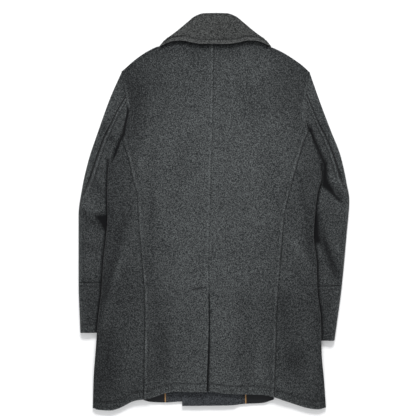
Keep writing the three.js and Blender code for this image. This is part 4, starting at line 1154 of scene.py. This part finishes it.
def mirrored(outline):
    return [(2 * COLLAR_MIDDLE_X - x, y) for x, y in outline]


END_OUTLINES = {"left": COLLAR_END, "right": mirrored(COLLAR_END)}
LAPEL_OUTLINES = {"left": LEFT_LAPEL, "right": RIGHT_LAPEL}
collar_ends = {side: plate(f"collar_end_{side}", END_OUTLINES[side]) for side in SIDES}
lapels = {side: plate(f"lapel_turned_{side}", LAPEL_OUTLINES[side]) for side in SIDES}
print("pieces on the table:", len(collar_ends) + len(lapels))

# %% [markdown]
# Buttons
#
# A horn button is turned on a lathe: a raised rim, a shallow dish and a rounded back. Spinning a profile
# gives the body, and four drilled holes come from one boolean cut. The coat lies on its buttons, so their
# dished faces are turned down.

# %% Buttons
BUTTON_COLUMNS, BUTTON_ROWS = (-53, 27), (128, 38, -52, -142)
HOLE_OFFSET, HOLE_RADIUS = 2.6, 1.15
PROFILE = (
    (0.0, 0.9), (7.6, 0.9), (9.2, 0.75), (10.2, 0.3), (11.0, 0.05), (12.6, 0.0), (13.4, 0.2), (13.85, 0.7),
    (14.0, 1.3), (13.9, 2.3), (13.4, 2.9), (12.0, 3.3), (9.0, 3.5), (0.0, 3.5),
)


def spun(name, profile, turns=56):
    """A closed body of revolution about Z from (radius, height) points that start and end on the axis."""
    ring = [p for p in profile if p[0] > 0]
    angle = np.arange(turns) * 2 * math.pi / turns
    points = [(0, 0, profile[0][1])]
    points += [(r * math.cos(a), r * math.sin(a), z) for r, z in ring for a in angle]
    points.append((0, 0, profile[-1][1]))
    at = lambda i, j: 1 + i * turns + j % turns
    faces = [[0, at(0, j + 1), at(0, j)] for j in range(turns)]
    for i in range(len(ring) - 1):
        faces += [[at(i, j), at(i, j + 1), at(i + 1, j + 1), at(i + 1, j)] for j in range(turns)]
    faces += [[len(points) - 1, at(len(ring) - 1, j), at(len(ring) - 1, j + 1)] for j in range(turns)]
    return mesh_object(name, points, faces)


def four_places():
    return [(sx * HOLE_OFFSET, sy * HOLE_OFFSET) for sx in (-1, 1) for sy in (-1, 1)]


def drilled_button():
    button = spun("button_master", PROFILE)
    drill = bpy.data.meshes.new("drill")
    work = bmesh.new()
    for x, y in four_places():
        radius = HOLE_RADIUS * MM
        made = bmesh.ops.create_cone(
            work, cap_ends=True, segments=20, radius1=radius, radius2=radius, depth=10 * MM
        )
        bmesh.ops.translate(work, verts=made["verts"], vec=(x * MM, y * MM, 2 * MM))
    work.to_mesh(drill)
    work.free()
    cutter = new_object("drill", drill)
    cut = button.modifiers.new("holes", "BOOLEAN")
    cut.object = cutter
    cut.solver = "EXACT"
    bake_modifiers(button)
    bpy.data.objects.remove(cutter)
    return button


master = drilled_button()
master_points = np.array([v.co for v in master.data.vertices]) / MM
master_faces = [list(p.vertices) for p in master.data.polygons]
button_places = [(x, y) for y in BUTTON_ROWS for x in BUTTON_COLUMNS]
buttons = []
for number, (x, y) in enumerate(button_places, 1):
    buttons.append(mesh_object(f"horn_button_{number}", master_points + [x, y, 0], master_faces))
    buttons[-1].data.shade_smooth()
bpy.data.objects.remove(master)
print("buttons:", len(buttons), "with", len(master_faces), "faces each")

# %% [markdown]
# Shader maths as expressions
#
# A shader is a graph of small sums. Writing it node by node hides the formula, so a socket is wrapped here
# in a class whose +, - and * add the matching Math node. Every other node comes from one method, which
# sets the node's options first and then fills or links its sockets.

# %% The shader helper
class Field:
    """A value that flows out of a shader node."""

    def __init__(self, tree, socket):
        self.tree, self.socket = tree, socket

    def _math(self, operation, first, second=None):
        node = self.tree.nodes.new("ShaderNodeMath")
        node.operation = operation
        for place, value in zip(node.inputs, (first, second)):
            if isinstance(value, Field):
                self.tree.links.new(value.socket, place)
            elif value is not None:
                place.default_value = value
        return Field(self.tree, node.outputs[0])

    def __add__(self, other):
        return self._math("ADD", self, other)

    def __radd__(self, other):
        return self._math("ADD", other, self)

    def __sub__(self, other):
        return self._math("SUBTRACT", self, other)

    def __mul__(self, other):
        return self._math("MULTIPLY", self, other)

    def clamped(self):
        return self._math("MINIMUM", self._math("MAXIMUM", self, 0.0), 1.0)


NOISE_TURN = (0.9, 0.6, 0.4)


class Shader:
    """A new material with its node tree, and the one method that adds any node."""

    def __init__(self, name):
        self.material = bpy.data.materials.new(name)
        self.material.use_nodes = True
        self.tree = self.material.node_tree
        self.surface = self.tree.nodes["Principled BSDF"]

    def node(self, kind, settings=None, output=0, **sockets):
        made = self.tree.nodes.new(kind)
        for key, value in (settings or {}).items():
            setattr(made, key, value)
        for key, value in sockets.items():
            self.fill(made, key.replace("_", " "), value)
        return Field(self.tree, made.outputs[output])

    def fill(self, node, name, value):
        places = [s for s in node.inputs if s.name == name and s.enabled]
        if isinstance(value, Field):
            self.tree.links.new(value.socket, places[0])
        else:
            places[0].default_value = value

    def set(self, **sockets):
        for key, value in sockets.items():
            self.fill(self.surface, key.replace("_", " "), value)
        return self.material

    def noise(self, scale, detail=2.0, roughness=0.5):
        place = self.node("ShaderNodeTexCoord", output="Object")
        turn = {"rotation_type": "EULER_XYZ"}
        turned = self.node("ShaderNodeVectorRotate", turn, Vector=place, Rotation=NOISE_TURN)
        return self.node(
            "ShaderNodeTexNoise", {"noise_dimensions": "3D"}, Vector=turned, Scale=scale, Detail=detail,
            Roughness=roughness,
        )

    def blend(self, factor, low, high):
        """A colour between low and high."""
        return self.node("ShaderNodeMix", {"data_type": "RGBA"}, output=2, Factor=factor, A=low, B=high)


# %% [markdown]
# Heather wool
#
# Melton wool for a coat like this is spun from dark and light fibres together, so it looks flecked close by
# and an even charcoal from afar. Four noises do that: a fine fleck, scattered light specks, a softer mottle
# from the milling and a broad, faint change over the panel. A value on each point of the cloth paints shade
# and highlight into the colour: it darkens the furrows, the deep folds, the seams and the places in shadow,
# and lightens the ridges and the stitched bands; where it is strongest, a near-black painted shade is mixed
# in.

# %% Wool material
def rgb(red, green, blue):
    return (red, green, blue, 1.0)


WOOL_DARK, WOOL_LIGHT = rgb(0.0105, 0.0118, 0.0126), rgb(0.096, 0.103, 0.104)
COLLAR_DARK, COLLAR_LIGHT = rgb(0.0090, 0.0096, 0.0096), rgb(0.078, 0.081, 0.079)
# The near-black colour below is painted shade, mixed over the wool where the painted shade value is high.
PAINTED_SHADE_DARK = rgb(0.0030, 0.0033, 0.0038)
FLECK, MOTTLE, BROAD, SPECKS = 455.0, 240.0, 11.0, 390.0
FINE_NAP, COARSE_NAP = 700.0, 250.0
SPECK_LEVEL = 0.60


def wool_material(name, dark, light):
    s = Shader(name)
    fleck = s.noise(FLECK, 2.0, 0.6)
    mottle = s.noise(MOTTLE, 2.0, 0.6)
    broad = s.noise(BROAD, 2.0, 0.5)
    specks = ((s.noise(SPECKS, 1.0, 0.5) - SPECK_LEVEL) * 9.0).clamped()
    # Painted shade above 0 and painted highlight below 0 move the fleck mix; strong painted shade blends in
    # the near-black.
    shade = s.node("ShaderNodeAttribute", {"attribute_name": PAINTED_SHADE_ATTRIBUTE}, output="Fac")
    mixed = 0.36 + (fleck - 0.5) * 3.9 + (mottle - 0.5) * 0.9 + (broad - 0.5) * 0.25 + specks * 0.5
    colour = s.blend((mixed - shade * 0.30).clamped(), dark, light)
    colour = s.blend(((shade - 0.1) * 0.85).clamped(), colour, PAINTED_SHADE_DARK)
    nap = s.noise(FINE_NAP, 2.0, 0.6) * 0.5 + s.noise(COARSE_NAP, 2.0, 0.6) * 0.5
    normal = s.node("ShaderNodeBump", Strength=0.35, Distance=0.0012, Height=nap)
    return s.set(
        Base_Color=colour, Roughness=0.95, Normal=normal, Sheen_Weight=0.08, Sheen_Roughness=0.5,
        Specular_IOR_Level=0.1,
    )


wool = wool_material("heather_wool", WOOL_DARK, WOOL_LIGHT)
collar_wool = wool_material("heather_wool_collar", COLLAR_DARK, COLLAR_LIGHT)
# The facing is the coat's wool in a darker, bluer copy: painted shade for the strip in the shadow below the
# back's hem.
facing_wool_painted_shade = wool_material("heather_wool_facing_painted_shade", rgb(0.010, 0.011, 0.013), rgb(0.062, 0.067, 0.073))
print("wool materials:", wool.name, collar_wool.name, facing_wool_painted_shade.name)

# %% [markdown]
# Lining, binding, horn and thread
#
# The lining is a smooth satin, so it is darker and glossier than the wool. The bound edge is a tan twill
# with fine slanted ribs. Horn is dark, slightly clouded and polished. The sewing thread is close to the
# wool in colour, a little darker and smoother.

# %% Other materials
def lining_material():
    s = Shader("satin_lining")
    weave = s.noise(900.0, 1.0, 0.5)
    colour = s.blend(weave, rgb(0.004, 0.004, 0.005), rgb(0.012, 0.013, 0.015))
    normal = s.node("ShaderNodeBump", Strength=0.15, Distance=0.0004, Height=weave)
    return s.set(Base_Color=colour, Roughness=0.5, Normal=normal, Specular_IOR_Level=0.12)


def binding_material():
    s = Shader("tan_binding")
    place = s.node("ShaderNodeTexCoord", output="Object")
    ribs = s.node(
        "ShaderNodeTexWave", {"bands_direction": "DIAGONAL"}, output="Fac", Vector=place, Scale=260.0,
        Distortion=1.5, Detail=1.0,
    )
    lit = (ribs * 0.6 + s.noise(400.0) * 0.4).clamped()
    colour = s.blend(lit, rgb(0.13, 0.062, 0.018), rgb(0.42, 0.235, 0.085))
    normal = s.node("ShaderNodeBump", Strength=0.4, Distance=0.0004, Height=ribs)
    return s.set(Base_Color=colour, Roughness=0.6, Normal=normal)


def horn_material():
    s = Shader("dark_horn")
    cloud = s.noise(70.0, 4.0, 0.6)
    colour = s.blend(cloud, rgb(0.006, 0.0055, 0.005), rgb(0.035, 0.028, 0.022))
    return s.set(Base_Color=colour, Roughness=0.28 + cloud * 0.15, Coat_Weight=0.3, Coat_Roughness=0.2)


def thread_material():
    s = Shader("dark_thread")
    twist = s.noise(1500.0, 1.0, 0.5)
    colour = s.blend(twist, rgb(0.016, 0.017, 0.018), rgb(0.045, 0.048, 0.050))
    return s.set(Base_Color=colour, Roughness=0.7)


lining_cloth, binding = lining_material(), binding_material()
horn, thread = horn_material(), thread_material()
print("materials:", len(bpy.data.materials))

# %% [markdown]
# A stitch machine in Geometry Nodes
#
# A topstitch is one short bump repeated along a line, which is what instancing is for. The tree below takes
# a line, sets points along it a stitch apart and puts a small ellipsoid on each, turned along the line. A
# little random change of length, from a fixed seed, keeps the row from looking printed. The line itself is
# found by dropping points on to the finished cloth, so a stitch lies in every fold it crosses.

# %% Stitch tree
STITCH_VARIES = (0.42, 0.52)


def stitch_tree():
    tree = bpy.data.node_groups.new("stitch_machine", "GeometryNodeTree")
    face = tree.interface
    given = {"Geometry": "Geometry", "Spacing": "Float", "Stitch length": "Float", "Thread radius": "Float"}
    given["Material"] = "Material"
    sockets = {}
    for name, kind in given.items():
        made = face.new_socket(name, in_out="INPUT", socket_type=f"NodeSocket{kind}")
        sockets[name] = made.identifier
    face.new_socket("Geometry", in_out="OUTPUT", socket_type="NodeSocketGeometry")
    kinds = {
        "start": "NodeGroupInput", "curve": "GeometryNodeMeshToCurve", "points": "GeometryNodeCurveToPoints",
        "ball": "GeometryNodeMeshIcoSphere", "place": "GeometryNodeInstanceOnPoints",
        "vary": "FunctionNodeRandomValue", "half": "ShaderNodeMath", "size": "ShaderNodeCombineXYZ",
        "real": "GeometryNodeRealizeInstances", "smooth": "GeometryNodeSetShadeSmooth",
        "paint": "GeometryNodeSetMaterial", "end": "NodeGroupOutput",
    }
    node = {name: tree.nodes.new(kind) for name, kind in kinds.items()}
    node["points"].mode = "LENGTH"
    node["vary"].data_type = "FLOAT"
    node["half"].operation = "MULTIPLY"
    fixed = {("ball", "Radius"): 1.0, ("ball", "Subdivisions"): 2, ("vary", "Seed"): 7}
    fixed[("vary", "Min")], fixed[("vary", "Max")] = STITCH_VARIES
    for (name, socket), value in fixed.items():
        node[name].inputs[socket].default_value = value
    wires = (
        ("start", "Geometry", "curve", "Mesh"), ("curve", "Curve", "points", "Curve"),
        ("start", "Spacing", "points", "Length"), ("points", "Points", "place", "Points"),
        ("points", "Rotation", "place", "Rotation"), ("ball", "Mesh", "place", "Instance"),
        ("start", "Stitch length", "half", 1), ("start", "Thread radius", "size", "X"),
        ("start", "Thread radius", "size", "Y"), ("half", 0, "size", "Z"),
        ("size", "Vector", "place", "Scale"),
        ("place", "Instances", "real", "Geometry"), ("real", "Geometry", "smooth", "Geometry"),
        ("smooth", "Geometry", "paint", "Geometry"), ("start", "Material", "paint", "Material"),
        ("paint", "Geometry", "end", "Geometry"),
    )
    for source, output, target, place in wires:
        tree.links.new(node[source].outputs[output], node[target].inputs[place])
    tree.links.new([s for s in node["vary"].outputs if s.enabled][0], node["half"].inputs[0])
    return tree, sockets


STITCHES, STITCH_SOCKETS = stitch_tree()
STITCH_SIZES = {"Spacing": 4.2, "Stitch length": 3.2, "Thread radius": 0.42}
STITCH_SINK = 0.12
BALL_FACES = 80


def dropped(piece, points, upwards=False):
    """Points (x, y) in millimetres laid on a piece from above, or from below."""
    direction = (0, 0, 1) if upwards else (0, 0, -1)
    height = -0.1 if upwards else 0.1
    found = []
    for x, y in points:
        hit, place, _, _ = piece.ray_cast((x * MM, y * MM, height), direction)
        if hit:
            found.append(tuple(np.array(place) / MM + np.array(direction) * STITCH_SINK))
    return found


def path_between(points, step=3.0):
    """Even points along a polyline."""
    p = np.array(points, float)
    length = np.append(0, np.cumsum(np.hypot(*np.diff(p, axis=0).T)))
    at = np.linspace(0, length[-1], max(2, int(length[-1] / step)))
    return np.column_stack([np.interp(at, length, p[:, 0]), np.interp(at, length, p[:, 1])])


def stitch_lines(name, lines):
    """One mesh of stitches along several 3-D lines."""
    points, edges = [], []
    for line in lines:
        first = len(points)
        points += line
        edges += [(first + i, first + i + 1) for i in range(len(line) - 1)]
    mesh = bpy.data.meshes.new(name)
    mesh.from_pydata((np.array(points) * MM).tolist(), edges, [])
    piece = new_object(name, mesh)
    sewing = piece.modifiers.new("sewing", "NODES")
    sewing.node_group = STITCHES
    for socket, size in STITCH_SIZES.items():
        sewing[STITCH_SOCKETS[socket]] = size * MM
    sewing[STITCH_SOCKETS["Material"]] = thread
    bake_modifiers(piece)
    print(f"{name}: {len(piece.data.polygons) // BALL_FACES} stitches")
    return piece


# %% [markdown]
# Where the coat is topstitched
#
# The rows of stitches follow the seams: one beside each side-back seam and armhole, one above each hem, one
# inside the collar's edge, and one below each cuff's seam and above its hem. On the underside they follow
# the lapels, the collar's ends and the outer front's edge.

# %% Stitched lines
levels = np.linspace(-475, 372, 200)
beside_left = np.column_stack([left_line(levels) + WELT_WIDTH, levels])
beside_right = np.column_stack([right_line(levels) - WELT_WIDTH, levels])
across_left = np.arange(-165, -19, 3.0)
across_right = np.arange(-14, 142, 3.0)
FRONT_STITCH = 8


def hem_line(x):
    return np.column_stack([x, back_hem_y(x) + HEM_STITCH])


def sleeve_line(side, station, around):
    grid, _ = sleeve_points(side, np.array(station, float)[:, None], np.array(around, float)[:, None], 0)
    return grid[:, 0, :2]


def beside_back_seam(side):
    """The row of stitches beside a sleeve's back seam."""
    station = np.linspace(0.25, CUFF_STATION - 0.05, 120)
    s, width = sleeve_section(side, station)
    from_seam = WELT_WIDTH / width * (0.5 - 2 * RING_TURN)
    return sleeve_line(side, station, np.maximum(s["seam"], RING_TURN) + from_seam)


def cuff_lines(side):
    share = np.linspace(RING_TURN + 0.006, 0.5 - RING_TURN - 0.006, 50)
    length = float(SLEEVES[side]["outer_y"][CUFF_STATION] - SLEEVES[side]["outer_y"][CUFF_STATION + 1])
    seam = sleeve_line(side, CUFF_STATION + WELT_WIDTH / length + 0 * share, share)
    hem = sleeve_line(side, CUFF_STATION + 1 - CUFF_HEM_STITCH / length + 0 * share, share)
    return [seam, hem]


def collar_line():
    index = np.linspace(-6.4, 6.4, 140)
    fold_x, fold_y, edge_x, edge_y, _ = collar_section(index)
    share = 1 - TOPSTITCH_INSET / np.hypot(edge_x - fold_x, edge_y - fold_y)
    return np.column_stack([mix(fold_x, edge_x, share), mix(fold_y, edge_y, share)])


def side_hem(side):
    seam, edge, outward = SIDES[side][:3]
    return hem_line(np.linspace(seam(SIDE_HEM_Y) + outward * 3, edge(SIDE_HEM_Y) - outward * 5, 45))


def inset_ring(outline, inset=9):
    """A closed row of stitches inside an outline."""
    ring = eased(outline, 3.0)
    middle = ring.mean(0)
    size = np.linalg.norm(ring - middle, axis=1)[:, None]
    moved = middle + (ring - middle) * (1 - inset / size)
    return path_between(np.vstack([moved, moved[:1]]))


front_row = [(OUTER_FRONT_EDGE_X - FRONT_STITCH, -440), (OUTER_FRONT_EDGE_X - FRONT_STITCH, 150)]
stitched = {
    "back_left": (back_left, False, [beside_left, hem_line(across_left), path_between(VENT_BAR)]),
    "back_right": (back_right, False, [beside_right, hem_line(across_right)]),
}
for side in SIDES:
    stitched[f"side_{side}"] = (side_bodies[side], False, [side_hem(side)])
for side in SIDES:
    stitched[f"sleeve_{side}"] = (sleeve_pieces[f"under_{side}"], False, [beside_back_seam(side)])
for side in SIDES:
    stitched[f"cuff_{side}"] = (cuffs[side], False, cuff_lines(side))
stitched["collar"] = (collar, False, [collar_line()])
for side in SIDES:
    stitched[f"lapel_{side}"] = (lapels[side], True, [inset_ring(LAPEL_OUTLINES[side])])
for side in SIDES:
    stitched[f"collar_end_{side}"] = (collar_ends[side], True, [inset_ring(END_OUTLINES[side])])
stitched["front_outer"] = (front_outer, True, [path_between(front_row)])
bpy.context.view_layer.update()
stitch_pieces = {}
for owner, (cloth, upwards, lines) in stitched.items():
    laid = [dropped(cloth, line, upwards) for line in lines]
    stitch_pieces[owner] = stitch_lines(f"stitches_{owner}", [line for line in laid if len(line) > 1])

# %% [markdown]
# Button threads
#
# Each button is sewn on through its four holes, with two bars of thread over the dish and a short shank
# between the button and the cloth.

# %% Button threads
THREAD_BAR, THREAD_SHANK = (3.4, 0.75, 0.45), (2.4, 2.8, 0.9)
THREAD_Z, SHANK_Z = 0.75, UNDERSIDE_CLOTH + 0.25


def button_thread(number, x, y):
    work = bmesh.new()
    for place in (-HOLE_OFFSET, HOLE_OFFSET):
        made = bmesh.ops.create_icosphere(work, subdivisions=2, radius=1.0)
        bmesh.ops.scale(work, verts=made["verts"], vec=[size * MM for size in THREAD_BAR])
        bmesh.ops.translate(work, verts=made["verts"], vec=(x * MM, (y + place) * MM, THREAD_Z * MM))
    low, high, length = [size * MM for size in THREAD_SHANK]
    shank = bmesh.ops.create_cone(work, cap_ends=True, segments=16, radius1=low, radius2=high, depth=length)
    bmesh.ops.translate(work, verts=shank["verts"], vec=(x * MM, y * MM, SHANK_Z * MM))
    mesh = bpy.data.meshes.new(f"button_thread_{number}")
    work.to_mesh(mesh)
    work.free()
    return new_object(mesh.name, mesh)


button_threads = [button_thread(number, x, y) for number, (x, y) in enumerate(button_places, 1)]
print("button threads:", len(button_threads))

# %% [markdown]
# Dressing each piece
#
# Every piece rides on the coat's one body and gets its material. A piece that stands for one of the frame's
# plain solids hides that solid.

TABLE_REACH, TABLE_PALE = 6000, rgb(0.86, 0.86, 0.86)


def floor_plane():
    corners = np.array(((-1, -1, 0), (1, -1, 0), (1, 1, 0), (-1, 1, 0))) * TABLE_REACH
    piece = mesh_object("floor_table", corners, [[0, 1, 2, 3]])
    pale = Shader("pale_table").set(Base_Color=TABLE_PALE, Roughness=0.9, Specular_IOR_Level=0.1)
    piece.data.materials.append(pale)
    return piece


floor = floor_plane()
floor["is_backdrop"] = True


def dress(piece, material, node=None):
    """Gives a piece its material and body, and hides the solid that it stands for."""
    piece.data.materials.clear()
    piece.data.materials.append(material)
    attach(piece, "root")
    if node:
        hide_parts(node)


def lay(piece, node, material):
    """Gives a piece of cloth its material and body, and hides the solid that it stands for."""
    dress(piece, material, node)


for piece in list(stitch_pieces.values()) + button_threads:
    dress(piece, thread)
for number, button in enumerate(buttons, 1):
    dress(button, horn, f"button_{number}")

lay(back_left, "back_left", wool)
lay(back_right, "back_right", wool)
for side in SIDES:
    upper, under = sleeve_pieces[f"upper_{side}"], sleeve_pieces[f"under_{side}"]
    lay(side_bodies[side], f"side_{side}", wool)
    lay(upper, f"sleeve_upper_{side}", wool)
    lay(under, f"sleeve_under_{side}", wool)
    lay(cuffs[side], f"cuff_{side}", wool)
    lay(lapels[side], f"lapel_{side}", wool)
    lay(collar_ends[side], None, collar_wool)
lay(front_outer, "front_left", wool)
lay(front_under, "front_right", wool)
lay(facing_outer, "facing_left", facing_wool_painted_shade)
lay(facing_under, "facing_right", facing_wool_painted_shade)
lay(lining_outer, "lining_left", lining_cloth)
lay(lining_under, "lining_right", lining_cloth)
lay(collar, "collar_fall", collar_wool)
lay(stand, "collar_stand", collar_wool)
dress(piping_outer, binding, "piping_left")
dress(piping_under, binding, "piping_right")

# %% [markdown]
# Table, light and camera
#
# A shop's flat lay is lit by large soft lights, the strongest from beyond the collar, so that each edge
# that faces the hem drops a soft shadow. The camera looks straight down from nearly three metres with a
# long lens, which keeps the outline close to its true shape.

# %% Light and camera
CAMERA_HEIGHT = 2.805
CAMERA_LENS, FILM_WIDTH = 100.0, 36.0
ROOM_COLOUR, ROOM_STRENGTH = (0.97, 0.98, 1.0, 1.0), 0.55
CAMERA_X, CAMERA_Y = -0.0145, 0.0091


def soft_light(name, place, aim, size, power):
    data = bpy.data.lights.new(name, "AREA")
    data.shape = "RECTANGLE"
    data.size, data.size_y, data.energy = size[0], size[1], power
    lamp = new_object(name, data)
    lamp.location = place
    direction = np.array(aim, float) - np.array(place, float)
    from_up = math.atan2(math.hypot(direction[0], direction[1]), -direction[2])
    lamp.rotation_euler = (from_up, 0, math.atan2(direction[0], -direction[1]) + math.pi)
    return lamp


soft_light("key", (0.2, 3.3, 2.2), (0, 0.0, 0), (1.8, 1.0), 190.0)
soft_light("fill", (-0.6, -1.2, 2.8), (0, -0.1, 0), (2.2, 1.6), 26.0)
world = bpy.data.worlds.new("room")
world.use_nodes = True
room = world.node_tree.nodes["Background"].inputs
room["Color"].default_value = ROOM_COLOUR
room["Strength"].default_value = ROOM_STRENGTH
scene = bpy.context.scene
scene.world = world
scene.view_settings.view_transform = "Standard"
camera_data = bpy.data.cameras.new("above")
camera_data.lens, camera_data.sensor_width = CAMERA_LENS, FILM_WIDTH
camera = new_object("above", camera_data)
camera.location = (CAMERA_X, CAMERA_Y, CAMERA_HEIGHT)
scene.camera = camera

# %% [markdown]
#
# The first measurement is the plain frame's box, the second the finished coat's. They should agree closely.

# %% Finish
VISUAL_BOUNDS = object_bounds()


def plain(value):
    """Numbers and lists in place of the vectors that the measurement gives."""
    if hasattr(value, "items"):
        return {key: plain(part) for key, part in value.items()}
    return [plain(part) for part in value] if hasattr(value, "__len__") else round(float(value), 5)


json.dumps({"cad": plain(CAD_BOUNDS), "visual": plain(VISUAL_BOUNDS)}, indent=1) + "\n"
print("frame's box:", CAD_BOUNDS)
print("coat's box:", VISUAL_BOUNDS)
